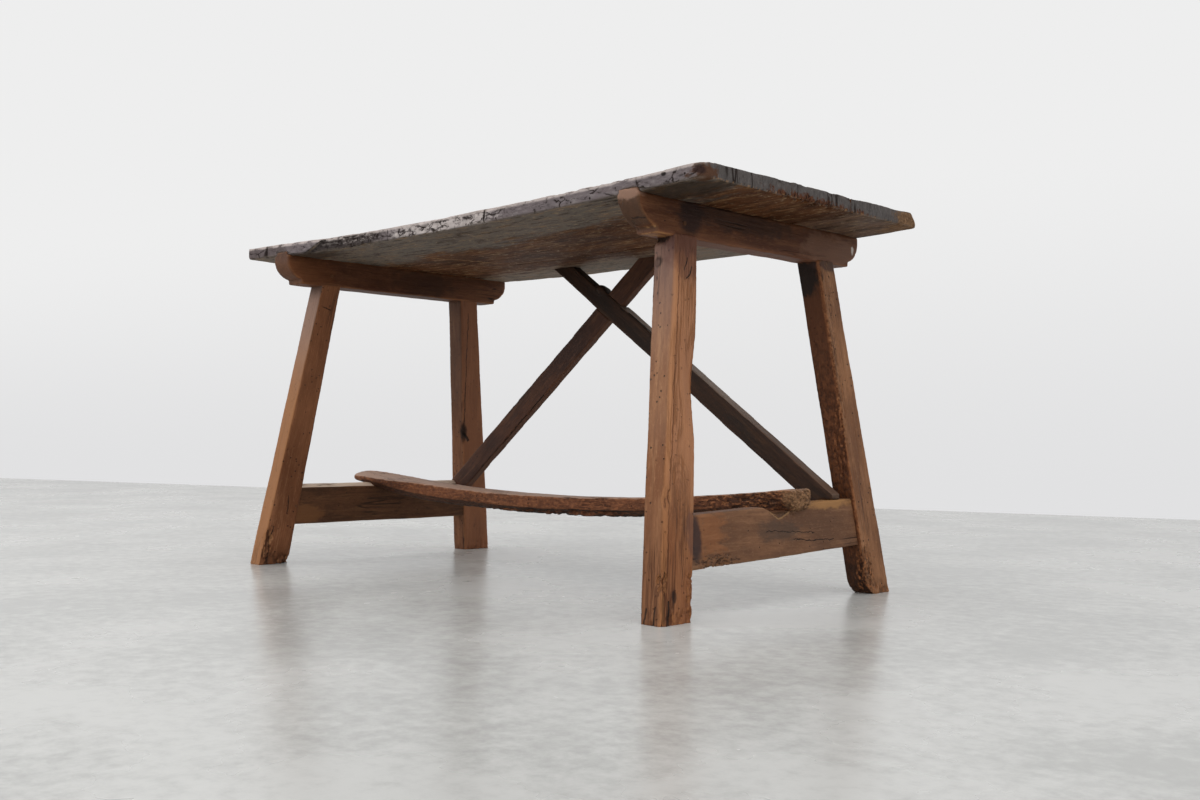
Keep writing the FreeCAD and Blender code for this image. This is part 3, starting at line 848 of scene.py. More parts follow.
# %% [markdown]
# ## Where each timber is worn
# Some wear has a place of its own. A dent is a smooth hollow, or a swelling where its depth is negative,
# and a bite is a ragged loss. Each is a point, a reach along x, y and z and a depth in millimetres, and a
# bite also has the size of its lumps. The boards need the finest skin for their edges, so their wide
# flats are thinned again at the end.

# %% Wear of the legs
foot_reach = (70, 70, 45)
leg_skin = 2 * mm
leg_dents = {
    (1, -1): [
        ((620, -222, 400), (34, 40, 120), 8),
        ((550, -250, 672), (34, 22, 16), 10),
    ],
}
leg_bites = {
    (1, -1): [
        ((655, -272, 45), (24, 26, 70), 5, 8),
        ((651, -343, 72), (14, 16, 32), 5, 9),
        ((638, -316, 210), (11, 13, 30), 4, 14),
    ],
    (-1, -1): [
        ((-612, -338, 42), (18, 22, 62), 9, 14),
        ((-616, -292, 5), (24, 28, 22), 9, 12),
    ],
    (-1, 1): [((-580, 226, 320), (12, 16, 32), 9, 20)],
    (1, 1): [
        ((655, 272, 45), (26, 40, 80), 3, 5),
        ((618, 232, 260), (22, 22, 260), 3, 6),
    ],
}


for key, (name, timber, grain) in legs.items():
    foot = on_side(leg_foot, *key) / mm
    bites = [(foot, foot_reach, 3, 9), *leg_bites.get(key, ())]
    season(timber, name, grain, leg_skin, dents=leg_dents.get(key, ()), bites=bites)

# %% Wear of the cross timbers
cleat_skin = 2.4 * mm
stretcher_skin = 2.2 * mm
brace_skin = 2 * mm
along_x = Vector((1, 0, 0))
along_y = Vector((0, 1, 0))
cleat_bites = {1: [((586, -300, 661), (44, 52, 15), 8, 16)]}
stretcher_dents = {1: [((660, -6, 184), (24, 44, 24), 12)]}
stretcher_bites = {
    1: [
        ((643, 40, 178), (26, 50, 20), 3, 7),
        ((648, -190, 92), (22, 66, 16), 5, 8),
    ],
}
brace_dents = {1: [((-34, 204, 668), (22, 40, 20), -9)]}
brace_grain = {}
for side in (-1, 1):
    name = side_names[side]
    bites = cleat_bites.get(side, ())
    season(cleats[side], name + "_cleat", along_y, cleat_skin, bites=bites)
    season(stretchers[side], name + "_stretcher", along_y, stretcher_skin,
           dents=stretcher_dents.get(side, ()), bites=stretcher_bites.get(side, ()))
    start, end, _ = brace_lines[side]
    brace_grain[side] = (brace_point(end, 0) - brace_point(start, 0)).normalized()
    dents = brace_dents.get(side, ())
    season(braces[side], name + "_brace", brace_grain[side], brace_skin, dents=dents)

# %% Wear of the rail and the top
rail_bites = [
    ((652, 62, 200), (48, 54, 44), 4, 6),
    ((100, 10, 140), (620, 60, 22), 7, 18),
    ((560, 20, 190), (120, 24, 30), 4, 10),
]
rail_dents = [((596, 40, 166), (95, 60, 24), -4)]
edge_y = -336
end_x = 731
edge_bites = [
    ((-270, edge_y, 742), (190, 30, 24), 4, 12),
    ((50, edge_y, 742), (160, 20, 22), 4, 10),
    ((420, edge_y, 764), (220, 12, 10), 3, 14),
    ((end_x, -30, 738), (16, 160, 13), 8, 12),
    ((end_x, 0, 768), (12, 330, 8), 2, 45),
]
rail_skin = 2.4 * mm
board_skin = 3 * mm
board_hewn = 1.4 * mm
board_chip = 1.2 * mm
board_share = 0.62
season(rail, "foot_rail", along_x, rail_skin, dents=rail_dents, bites=rail_bites)
for board, node in ((front_board, "top_front_board"), (back_board, "top_back_board")):
    season(board, node, along_x, board_skin, hewn=board_hewn, chip=board_chip,
           bites=edge_bites, joint_y=joint_y)
    use_modifier(board, "DECIMATE", ratio=board_share)

# %% [markdown]
# ## Wood
# Wood is a solid, so its finish is worked out from the place in space and not from a flat picture: drawn
# together along the grain, the same noise gives broad clouds of patina, streaks and fine fibres, and the
# ends of a timber show their end grain by themselves. A coat keeps a running colour and height. `paint`
# lays a tone over it through a mask, `sink` lowers it, and `cut` does both, as for a worm hole.

# %% Tones and materials
def tone(code):
    """The colour of a hexadecimal code as a shader wants it."""
    shares = [int(code[start:start + 2], 16) / 255 for start in (0, 2, 4)]
    linear = [share / 12.92 if share <= 0.04045 else ((share + 0.055) / 1.055) ** 2.4 for share in shares]
    return (*linear, 1.0)


def blend(factor, first, second):
    """A colour part of the way from one to another."""
    wanted = {0: factor, 6: first, 7: second}
    return factor.node("ShaderNodeMix", {"data_type": "RGBA"}, wanted, 2)


def bare_material(name):
    """A material without any nodes and a start for new ones."""
    material = bpy.data.materials.new(name)
    material.use_nodes = True
    material.node_tree.nodes.clear()
    return material, Flow(material.node_tree)


print("tones and materials ready")

# %% Coats of finish
cloud_size = 70 * mm
streak_size = 10 * mm
fibre_size = 4 * mm
grit_size = 4 * mm
broken_size = 15 * mm
drift_size = 14 * mm
rub_size = 22 * mm
split_patch = 45 * mm
hole_depth = 3 * mm
split_depth = 1.5 * mm
crack_depth = 2 * mm
pit_depth = 2.5 * mm
hole_tone = "1a100a"
crackle_tone = "231a18"
pith_lean = Vector((0.03, 0.02, 0.03))
waxed_gloss = 0.18
relief_strength = 0.8


class Coat:
    """A finish that is built up in layers on one timber."""

    def __init__(self, name, grain, dark, middle, light):
        self.material, start = bare_material(name)
        self.grain = grain
        self.place = start.node("ShaderNodeTexCoord", out="Object")
        self.normal = self.place.other("Normal")
        self.arris = start.node("ShaderNodeAttribute", {"attribute_name": "arris"}, out="Fac")
        self.bite = start.node("ShaderNodeAttribute", {"attribute_name": "bite"}, out="Fac")
        self.cloud = self.place.squeeze(grain, 3).noise(cloud_size, 3, 0.6)
        self.streak = self.place.squeeze(grain, 12).noise(streak_size, 4, 0.65)
        self.fibre = self.place.squeeze(grain, 14).noise(fibre_size, 3, 0.65)
        self.grit = self.place.squeeze(grain, 2.5).noise(grit_size, 3, 0.7)
        self.broken = self.place.squeeze(grain, 2).noise(broken_size, 4, 0.65)
        self.colour = blend(self.cloud.ramp(0.35, 0.65), tone(dark), tone(middle))
        self.paint(self.streak.ramp(0.5, 0.72) * 0.6, light)
        self.paint(self.streak.ramp(0.48, 0.28) * 0.5, dark)
        self.paint(self.fibre.ramp(0.53, 0.6) * 0.45, dark)
        self.paint(self.grit.ramp(0.54, 0.7) * 0.35, light)
        self.paint(self.grit.ramp(0.45, 0.3) * 0.5, dark)
        self.height = self.streak * (0.6 * mm) + self.fibre * (0.8 * mm) + self.grit * (0.5 * mm)

    def paint(self, mask, code):
        """Lays a tone over the coat where a mask is."""
        self.colour = blend(mask, self.colour, tone(code))

    def sink(self, mask, depth):
        """Lowers the skin where a mask is."""
        self.height = self.height - mask * depth

    def cut(self, mask, strength, code, depth):
        """An opening: a tone laid over the coat and the skin lowered."""
        self.paint(mask * strength, code)
        self.sink(mask, depth)

    def facing(self, way, low=0.4, high=0.75):
        """1 on the faces that look one way."""
        return self.normal.dot(Vector(way).normalized()).ramp(low, high)

    def face(self, way, strength, code, rise=None):
        """Paints the faces that look one way, all over or growing from one height to another."""
        mask = self.facing(way)
        if rise:
            mask = mask * self.place.part("Z").ramp(*rise)
        self.paint(mask * strength, code)

    def spot(self, centre, radii, ragged=0.4):
        """1 about a point given in millimetres, with a broken rim."""
        away = self.place.away_from(Vector(centre) * mm, Vector(radii) * mm)
        return (away + (self.broken - 0.5) * (4 * ragged)).ramp(1.15, 0.6)

    def blot(self, centre, radii, code, strength, ragged=0.4):
        """A stain about a point."""
        self.paint(self.spot(centre, radii, ragged) * strength, code)

    def rings(self, pith, spacing, strength, code):
        """Year rings round a pith that runs nearly along the grain."""
        away = self.place - Vector(pith)
        lean = (self.grain + pith_lean).normalized()
        inward = away.dot(lean).times(lean)
        turns = (away - inward).length() * (math.tau / spacing) + self.cloud * 9
        self.paint(turns.sine().ramp(0.1, 1) * strength, code)

    def whorl(self, centre, radii, rounds, strength, code):
        """Ovals of grain round a point given in millimetres."""
        away = self.astray(7).away_from(Vector(centre) * mm, Vector(radii) * mm)
        turns = away * (math.tau * rounds) + self.cloud * 9
        self.paint(turns.sine().ramp(0, 1) * away.ramp(1, 0.7) * strength, code)

    def holes(self, spacing, radius, share, where=None):
        """Flight holes of worm, scattered at about a spacing."""
        cells = self.place.node("ShaderNodeTexVoronoi", {}, {"Vector": self.place, "Scale": 1 / spacing})
        chance = cells.node("ShaderNodeSeparateColor", {}, {0: cells.other("Color")})
        mask = (cells * spacing).ramp(radius * 1.15, radius * 0.7) * chance.ramp(share, share - 0.02)
        if where:
            mask = mask * where
        self.cut(mask, 0.9, hole_tone, hole_depth)

    def splits(self, lump, width, share, grain=None, where=None, code="1c120c"):
        """Fine splits along the grain, in some places only."""
        grain = grain or self.grain
        line = abs(self.place.squeeze(grain, 22).noise(lump, 1) - 0.5).ramp(width, width * 0.3)
        mask = line * self.place.squeeze(grain, 5).noise(split_patch, 2).ramp(share, share - 0.08)
        if where:
            mask = mask * where
        self.cut(mask, 0.85, code, split_depth)

    def astray(self, wander):
        """The place, led astray by noise."""
        wanted = {"Vector": self.place, "Scale": 1 / drift_size}
        drift = self.place.node("ShaderNodeTexNoise", {}, wanted, "Color")
        return self.place + (drift - 0.5) * (2 * wander * mm)

    def crackle(self, spacing, width, where):
        """A net of cracks that is drawn out along the grain and broken here and there."""
        wanted = {"Vector": self.astray(6).squeeze(self.grain, 2.5), "Scale": 1 / spacing}
        cells = self.place.node("ShaderNodeTexVoronoi", {"feature": "DISTANCE_TO_EDGE"}, wanted)
        mask = (cells * spacing).ramp(width, width * 0.3) * self.broken.ramp(0.4, 0.56) * where
        self.cut(mask, 0.9, crackle_tone, crack_depth)

    def crack(self, start, end, way, width=1.4, wander=4.0, code="1a110b"):
        """One crack between two points in millimetres on the face that looks one way."""
        first = Vector(start) * mm
        run = Vector(end) * mm - first
        outward = Vector(way)
        away = self.astray(wander) - first
        share = {0: away.dot(run), 1: 1 / run.length_squared}
        along = away.node("ShaderNodeMath", {"operation": "MULTIPLY", "use_clamp": True}, share)
        away = away - along.times(run)
        away = away - away.dot(outward).times(outward)
        mask = away.length().ramp(width * mm, 0.4 * width * mm) * self.facing(way)
        self.cut(mask, 0.9, code, crack_depth)

    def eaten(self, mask, pale, dark="1c100a", lump=5 * mm):
        """Worm-eaten wood: dark pits and the pale ridges between them."""
        pits = self.place.squeeze(self.grain, 2).noise(lump, 3, 0.6)
        self.paint(mask * pits.ramp(0.5, 0.66) * 0.8, pale)
        self.paint(mask * pits.ramp(0.5, 0.38) * 0.9, dark)
        self.sink(mask * pits.ramp(0.55, 0.36), pit_depth)

    def rub(self, code, strength):
        """Wear that has rubbed the colour off the arrises."""
        mask = self.arris * self.place.squeeze(self.grain, 4).noise(rub_size, 3).ramp(0.32, 0.6)
        self.paint(mask * strength, code)

    def give(self, timber, gloss=waxed_gloss):
        """Makes the shader and hands it to a timber."""
        relief = {"Distance": 1.0, "Strength": relief_strength, "Height": self.height}
        normal = self.colour.node("ShaderNodeBump", {}, relief)
        wanted = {
            "Base Color": self.colour, "Roughness": self.cloud * 0.2 + 0.48, "Normal": normal,
            "Specular IOR Level": gloss,
        }
        shader = self.colour.node("ShaderNodeBsdfPrincipled", {}, wanted)
        self.colour.node("ShaderNodeOutputMaterial", {}, {0: shader})
        timber.data.materials.clear()
        timber.data.materials.append(self.material)


print("coat ready")

# %% [markdown]
# ## Finish of the legs
# The four legs are of one wood but have aged in different light: the right front one is the palest, the
# inside faces are darkest, partly stained and partly painted shade under the top. The front legs carry a
# painted grey sheen high on their front faces and painted shade just under the cleats, and the left front
# one is painted lighter on its front face, as painted light. Worm has left small round holes everywhere,
# and the corners that hands and boots have rubbed are orange, with a painted highlight on the chamfers of
# the two right legs.

# %% Leg coats
to_front = (0, -1, 0)
to_right = (1, 0, 0)
to_front_right = (1, -1, 0)
upward = (0, 0, 1)
downward = (0, 0, -1)
leg_tones = {
    (1, -1): ("7a4d30", "9c6d4a", "b0825c"),
    (-1, -1): ("683f26", "865639", "98694a"),
    (-1, 1): ("5f3c27", "7f543a", "906548"),
    (1, 1): ("6f4930", "946848", "a87c5a"),
}
leg_pith = Vector((20 * mm, 60 * mm, 0))
ring_spacing = 6 * mm
leg_coats = {}
for key, (name, timber, grain) in legs.items():
    coat = Coat(name + "_wood", grain, *leg_tones[key])
    coat.rings(on_side(leg_foot, *key) + leg_pith, ring_spacing, 0.22, "5a3822")
    coat.rub("b57c4a", 0.7)
    coat.splits(12 * mm, 0.04, 0.44, code="4a2b19")
    coat.holes(13 * mm, 1.9 * mm, 0.8)
    coat.splits(7 * mm, 0.06, 0.5, where=coat.place.part("Z").ramp(0.2, 0.03), code="331d12")
    coat.paint(coat.bite * 0.6, "3c2416")
    leg_coats[key] = coat
print("leg coats:", len(leg_coats))

# %% Right front leg
coat = leg_coats[1, -1]
# Painted greyish-pink sheen high on the front face.
coat.face(to_front, 0.08, "c9a890", (0.26, 0.34))
coat.face(to_front, 0.6, "79635e", (0.4, 0.62))
coat.face(to_front, 0.6, "6b432a", (0.3, 0.1))
coat.face(to_right, 0.6, "b67f5c", (0.12, 0.3))
low = coat.facing(to_right) * coat.place.part("Z").ramp(0.26, 0.1)
coat.paint(low * 0.5, "86502f")
coat.splits(6 * mm, 0.09, 0.56, where=low, code="57321d")
coat.splits(5 * mm, 0.08, 0.55, where=coat.facing(to_right) - low, code="8a5a38")
coat.splits(10 * mm, 0.05, 0.5, where=low, code="331c10")
# The chamfer that faces front right is painted lighter: rubbed wood and a painted highlight.
coat.paint(coat.facing(to_front_right, 0.86, 0.97) * 0.3, "b67e4f")
coat.crack((594, -239, 650), (653, -336, 60), to_right, 0.9, 3, "6b4026")
coat.whorl((634, -282, 222), (40, 34, 80), 6, 0.3, "6b4229")
coat.blot((594, -212, 645), (40, 60, 58), "5a3731", 0.55, 0.3)
coat.blot((592, -215, 660), (40, 50, 24), "4b2f30", 0.4)
# Painted shade in the hollow at the top of the front face, under the cleat.
coat.blot((548, -248, 674), (36, 22, 13), "221812", 0.85, 0.3)
coat.blot((558, -248, 627), (11, 20, 12), "2c1b14", 0.85, 0.2)
coat.blot((556, -248, 626), (7, 20, 8), "6a5148", 0.8, 0.2)
coat.crack((597, -209, 618), (599, -225, 596), to_right, 2, 5)
coat.crack((595, -221, 634), (597, -231, 612), to_right, 1.6, 4)
coat.blot((644, -258, 145), (40, 20, 48), "4d3636", 0.5)
coat.crack((656, -333, 40), (659, -337, 0), to_right, 3, 3)
coat.crack((625, -349, 26), (622, -352, 0), to_front, 2, 3)
coat.crack((645, -349, 30), (643, -352, 0), to_front, 2, 3)
coat.blot((654, -317, 46), (12, 7, 12), "2a1710", 0.8)
print(coat.material.name, "aged")

# %% Left front leg
coat = leg_coats[-1, -1]
# Painted light: the front face is painted lighter where the light falls on it.
coat.face(to_front, 0.75, "9d6e49")
coat.face(to_right, 0.18, "a9714e", (0.2, 0.4))
# Painted grey sheen high on the front face.
coat.face(to_front, 0.6, "86746e", (0.38, 0.62))
# Painted shade at the top of the front face, just under the cleat.
coat.face(to_front, 0.6, "54413a", (0.63, 0.67))
coat.crack((-607, -326, 92), (-616, -338, 10), to_right, 2, 7, "2c1a10")
coat.crack((-553, -236, 622), (-549, -214, 616), to_right, 1.6, 3)
coat.crack((-600, -290, 165), (-604, -292, 120), to_right, 1.6, 5)
print(coat.material.name, "aged")

# %% Back legs
coat = leg_coats[-1, 1]
coat.face(to_right, 0.5, "976346")
# Painted shade on the front face, growing upwards under the top.
coat.face(to_front, 0.45, "4a3830", (0.3, 0.5))
coat.crack((-545, 216, 640), (-579, 232, 345), to_right, 1.6, 4)
coat.crack((-579, 214, 341), (-584, 249, 301), to_right, 5, 6)
coat.blot((-581, 228, 320), (16, 16, 34), "120b08", 0.9, 0.3)

coat = leg_coats[1, 1]
coat.face(to_front, 0.9, "4f2a14")
coat.eaten(coat.facing(to_front) * coat.place.part("Z").ramp(0.6, 0.4) * 0.5, "7e4c2d", "2a150b")
coat.face(to_front, 0.7, "2a1910", (0.09, 0.05))
coat.blot((561, 195, 645), (40, 22, 40), "140e0b", 0.9)
coat.blot((592, 221, 668), (30, 40, 14), "3a2a26", 0.8)
# The chamfer that faces front right is painted lighter: rubbed wood and a painted highlight.
coat.paint(coat.facing(to_front_right, 0.8, 0.95) * 0.4, "9a613c")
coat.eaten(coat.facing(to_front_right, 0.7, 0.95) * 0.45, "a8704a", "4a2817", 4 * mm)
ridge = coat.facing(to_right) * coat.spot((600, 218, 330), (60, 18, 360), 0.6)
coat.eaten(ridge * 0.5, "b58359", "4e2e1c", 4 * mm)
coat.eaten(coat.spot((655, 270, 40), (26, 30, 70)) * 0.7, "9a613a", "2c170d", 4 * mm)

for key, (_, timber, _) in legs.items():
    leg_coats[key].give(timber)
print("legs finished:", len(leg_coats))

# %% [markdown]
# ## Finish of the cross timbers
# The cleats, stretchers and braces live in the shade under the top, so they have stayed dark and red.
# Iron and damp have stained them black beside the legs, and where worm has got in, the wood is pale and
# crumbling. The right brace, the hollow of the right stretcher and the upper arris of the left one also
# carry painted light and shade.

# %% Cleat finish
cleat_side = 589
cleat_coats = {}
for side in (-1, 1):
    coat = Coat(side_names[side] + "_cleat_wood", along_y, "4c2b1a", "6c442c", "80563b")
    coat.rub("a06c44", 0.6)
    coat.splits(12 * mm, 0.03, 0.42, code="2a170e")
    coat.holes(20 * mm, 1.5 * mm, 0.5)
    coat.paint(coat.bite * 0.7, "b07c4c")
    cleat_coats[side] = coat
coat = cleat_coats[-1]
coat.blot((-541, -280, 707), (60, 80, 40), "7f4b2a", 0.3)
coat.paint(coat.facing(to_front, 0.2, 0.5) * 0.5, "4d382c")
coat.blot((-541, 60, 705), (60, 120, 34), "3a2418", 0.6)
coat = cleat_coats[1]
coat.paint(coat.facing(to_front, 0.2, 0.5) * 0.65, "4a382b")
coat.blot((565, -338, 738), (40, 20, 12), "9f7c69", 0.65)
coat.crack((556, -338, 697), (588, -338, 694), to_front, 1.6, 4)
coat.paint(coat.place.part("Z").ramp(0.688, 0.668) * 0.5, "80543f")
coat.blot((cleat_side, -198, 714), (60, 38, 38), "291a18", 0.85, 0.2)
coat.blot((cleat_side, -50, 722), (60, 180, 26), "2f1f18", 0.7)
coat.blot((cleat_side, 240, 700), (60, 120, 34), "82604d", 0.55)
coat.blot((cleat_side, 318, 709), (12, 5, 9), "cfc6bd", 0.9)
coat.paint(coat.facing(downward) * coat.spot((580, -290, 662), (40, 60, 20), 0.7) * 0.6, "bd8c5b")
for side, coat in cleat_coats.items():
    coat.give(cleats[side])
print("cleats finished:", len(cleat_coats))

# %% Brace finish
brace_tones = {-1: ("38221a", "553627", "664430"), 1: ("24150c", "3b2416", "4c3320")}
for side, grain in brace_grain.items():
    coat = Coat(side_names[side] + "_brace_wood", grain, *brace_tones[side])
    coat.rub("5f4433", 0.5)
    coat.splits(9 * mm, 0.01, 0.45)
    over = Vector((-grain.z, 0, grain.x))
    if side == 1:
        # Painted light on the upper face right of the middle, a painted grey sheen up to about x = 0.4, and
        # painted shade on that face left of the middle.
        painted_lit_span = coat.place.part("X").ramp(0.0, 0.06)
        coat.paint(coat.facing(over) * painted_lit_span * 0.75, "6b5344")
        coat.paint(coat.facing(over) * painted_lit_span * coat.place.part("X").ramp(0.5, 0.3) * 0.7, "9a887c")
        coat.paint(coat.facing(over) * (1 - painted_lit_span) * 0.7, "1c110b")
        coat.crack((60, 204, 606), (143, 204, 540), over, 5, 5)
    else:
        coat.paint(coat.facing(-over) * 0.6, "6a4633")
        coat.crack((-530, 219, 198), (-244, 212, 415), to_front, 2.2, 5)
    coat.give(braces[side])
print("braces finished:", len(braces))

# %% Stretcher finish
stretcher_side = 643
hollow_rim_wear_and_highlight = ((-29, 186), (-22, 177), (-12, 169), (1, 164), (14, 165), (28, 170), (44, 177))
stretcher_tones = {-1: ("3d2618", "5a3a25", "6f4d33"), 1: ("60422f", "7d583f", "90694c")}
stretcher_coats = {}
for side in (-1, 1):
    coat = Coat(side_names[side] + "_stretcher_wood", along_y, *stretcher_tones[side])
    coat.rub("a8805a", 0.6)
    coat.splits(12 * mm, 0.03, 0.42, code="2e1c12")
    coat.holes(16 * mm, 1.5 * mm, 0.6)
    stretcher_coats[side] = coat
coat = stretcher_coats[-1]
# The upper right arris is painted pale: worn wood and a painted highlight.
coat.paint(coat.facing((0.5, 0, 1), 0.75, 0.9) * coat.streak.ramp(0.3, 0.5) * 0.9, "e3cbb6")
coat.blot((-600, -240, 118), (40, 60, 26), "835634", 0.5)
coat = stretcher_coats[1]
coat.blot((stretcher_side, -205, 150), (40, 50, 46), "9a6038", 0.4, 0.7)
coat.blot((stretcher_side, -244, 140), (40, 18, 46), "322729", 0.85, 0.2)
coat.blot((stretcher_side, 0, 142), (40, 75, 22), "483a31", 0.6)
coat.blot((stretcher_side, 165, 190), (40, 85, 15), "aa7d4c", 0.65)
coat.crack((stretcher_side, -40, 143), (stretcher_side, 112, 132), to_right, 1, 6)
coat.crack((stretcher_side, 45, 122), (stretcher_side, 175, 115), to_right, 1, 6)
# Painted shade inside the hollow where the rail lies.
coat.blot((645, 8, 181), (30, 33, 16), "38271c", 0.8, 0.2)
# Pale lines along the rim of the hollow: worn wood and a painted highlight where the rim catches light.
for (y, z), (next_y, next_z) in zip(hollow_rim_wear_and_highlight, hollow_rim_wear_and_highlight[1:]):
    coat.crack((648, y, z), (648, next_y, next_z), to_right, 2.4, 3, "8f6d4c")
coat.eaten(coat.spot((645, -190, 95), (30, 60, 14)) * 0.8, "7e5433")
for side, coat in stretcher_coats.items():
    coat.give(stretchers[side])
print("stretchers finished:", len(stretcher_coats))

# %% Rail finish
coat = Coat("rail_wood", along_x, "4f2d1a", "70442c", "8e5c3e")
coat.rub("b98460", 0.5)
coat.face(upward, 0.75, "bd9c88")
coat.splits(8 * mm, 0.04, 0.5, code="3c2115")
coat.holes(14 * mm, 1.9 * mm, 0.7)
coat.eaten(coat.facing(to_front) * 0.35, "b0714a", "3f2115")
# Painted shade on the faces that look down.
coat.paint(coat.facing(downward, 0.5, 0.8) * 0.85, "24160e")
coat.paint(coat.bite * 0.6, "2c1a10")
coat.eaten(coat.spot((560, 30, 190), (130, 40, 30)) * 0.5, "b57a4e")
coat.paint(coat.spot((658, 62, 200), (34, 60, 44)) * 0.6, "a07a58")
coat.eaten(coat.spot((658, 62, 200), (34, 60, 44)) * 0.6, "b08a64", "2c180d", 7 * mm)
coat.give(rail)
print("rail finished")

# %% [markdown]
# ## Finish of the top
# The boards show four different skins. The upper side is a dull grey-brown. The underside is warm brown
# and was never waxed, and along the front and the back it has gone grey; beside the left cleat it carries
# painted shadow. The front edge is bleached to a lavender grey, painted light enough to stand in for its
# sheen too, with a pale rubbed rim and painted shade along its lower arris, and it is dark where it has
# been gnawed, from chewed wood and painted shade in the recess. The right end is dark end grain with
# upright cracks and a broken brown lower arris.

# %% Wide sides of the boards
fleck_size = 18 * mm
dust_size = 10 * mm


def finish_sides(coat):
    """The warm underside, greyed at the front and the back, and the dull upper side."""
    flat = coat.place.part("X") * (1 / half_length)
    under = coat.facing(downward)
    fleck = coat.place.squeeze(along_x, 4).noise(fleck_size, 4, 0.75)
    dust = coat.place.squeeze(along_x, 2).noise(dust_size, 3, 0.75)
    greyed = coat.place.part("Y") + flat * 0.08 + (coat.cloud - 0.5) * 0.15 + (fleck - 0.5) * 0.3
    coat.paint(under * greyed.ramp(-0.12, -0.18) * 0.75, "7b746b")
    coat.paint(under * greyed.ramp(0.13, 0.22) * (0.75 - flat.ramp(0.76, 0.82) * 0.5), "8f8478")
    coat.paint(under * fleck.ramp(0.53, 0.64) * 0.55, "957553")
    coat.paint(under * fleck.ramp(0.47, 0.36) * 0.65, "2f1e10")
    coat.paint(under * dust.ramp(0.57, 0.66) * 0.5, "b0977a")
    coat.paint(under * dust.ramp(0.42, 0.34) * 0.6, "24170d")
    coat.blot((650, -285, 740), (120, 70, 20), "2f2219", 0.75)
    # Painted shadow on the underside between the left cleat and the front edge.
    coat.blot((-490, -300, 738), (130, 50, 20), "2a211b", 0.65)
    coat.face(upward, 0.5, "6d5b4c")
    coat.splits(10 * mm, 0.02, 0.45)
    coat.holes(24 * mm, 1.4 * mm, 0.5)


print("wide sides ready")

# %% Front edge of the top
chew_size = 7 * mm
front_strip = (-300 * mm, -320 * mm)
rim_level = (762 * mm, 767 * mm)
shaded_level = (747.5 * mm, 744 * mm)
splinter_level = (748 * mm, 760 * mm)
gnaw_slope = 3
gnaw_start = (-480 * mm, -470 * mm)
gnaw_end = (-130 * mm, -240 * mm)


def level_on(coat):
    """How high a place on a board lay before the board sagged."""
    flat = coat.place.part("X") * (1 / half_length)
    return coat.place.part("Z") + (1 - flat * flat) * top_bow


def finish_front(coat):
    """The bleached front edge with painted sheen and shade, its gnawed part, its cracks and its pale rim.
    """
    along = coat.place.part("X")
    level = level_on(coat)
    front_edge = coat.place.part("Y").ramp(*front_strip)
    front = coat.facing(to_front) * front_edge
    chew = coat.place.squeeze(along_x, 2.5).noise(chew_size, 4, 0.7)
    # Bleached lavender grey, painted light enough to stand in for the sheen the nearly matt boards lack.
    coat.paint(front * 0.9, "766e70")
    coat.paint(front * chew.ramp(0.54, 0.68) * 0.5, "918988")
    coat.paint(front * chew.ramp(0.46, 0.34) * 0.6, "423a3a")
    coat.sink(front * chew.ramp(0.55, 0.35), 1.2 * mm)
    coat.paint(front * coat.spot((-665, edge_y, 752), (110, 60, 60)) * 0.6, "4f4443")
    coat.paint(front * coat.spot((45, edge_y, 750), (175, 60, 60)) * 0.85, "c3b9b5")
    step = along - (level - underside_height) * gnaw_slope
    frayed = (step + (coat.broken - 0.5) * 0.03).ramp(*gnaw_start)
    gnaw = front * frayed * along.ramp(*gnaw_end)
    # The gnawed recess is dark chewed wood with painted shade in it, and its upper splinters are pale
    # fibres with painted highlights.
    coat.paint(gnaw * 0.85, "3d3633")
    coat.paint(gnaw * chew.ramp(0.5, 0.6) * level.ramp(*splinter_level) * 0.75, "a59c97")
    coat.paint(gnaw * chew.ramp(0.47, 0.38) * 0.8, "191412")
    coat.paint(gnaw * coat.spot((-390, edge_y, 750), (75, 60, 60)) * 0.55, "2a2321")
    coat.crackle(13 * mm, 1.0 * mm, front * coat.spot((30, edge_y, 750), (260, 60, 60)))
    coat.crackle(30 * mm, 1.3 * mm, front)
    coat.holes(16 * mm, 2.4 * mm, 0.5, front)
    rim = coat.facing((0, -1, 0.6), 0.5, 0.8) * level.ramp(*rim_level) * front_edge
    coat.paint(rim * coat.broken.ramp(0.34, 0.5) * 0.75, "cdc0bb")
    # Painted shade along the lower arris of the front edge.
    coat.paint(front * level.ramp(*shaded_level) * 0.7, "241b18")


print("front edge ready")

# %% Right end of the top
pore_size = 5 * mm
broken_level = (748 * mm, 745 * mm)


def finish_end(coat):
    """The dark end grain, torn along its lower arris and worn at its corners."""
    level = level_on(coat)
    end = coat.facing(to_right)
    pore = coat.place.squeeze(Vector(upward), 2.5).noise(pore_size, 3, 0.7)
    coat.paint(end * 0.92, "585554")
    coat.paint(end * pore.ramp(0.54, 0.68) * 0.4, "76716f")
    coat.paint(end * pore.ramp(0.46, 0.34) * 0.5, "37312e")
    coat.splits(14 * mm, 0.07, 0.46, Vector(upward), end)
    torn = end * coat.spot((end_x, -30, 742), (30, 165, 13), 0.8)
    coat.paint(torn * 0.85, "5a331c")
    coat.paint(torn * pore.ramp(0.49, 0.4) * 0.9, "170e09")
    coat.paint(end * level.ramp(*broken_level) * pore.ramp(0.53, 0.62) * 0.7, "a07a54")
    coat.blot((722, -326, 752), (26, 26, 22), "563927", 0.85, 0.8)
    coat.blot((719, edge_y, 758), (12, 12, 10), "2b2022", 0.75, 0.6)
    corner = coat.spot((715, 310, 760), (60, 60, 40)) * (1 - coat.facing(upward))
    coat.paint(corner * 0.75, "7d5c3d")
    coat.eaten(corner * 0.4, "a5835f", "3a281b")


print("right end ready")

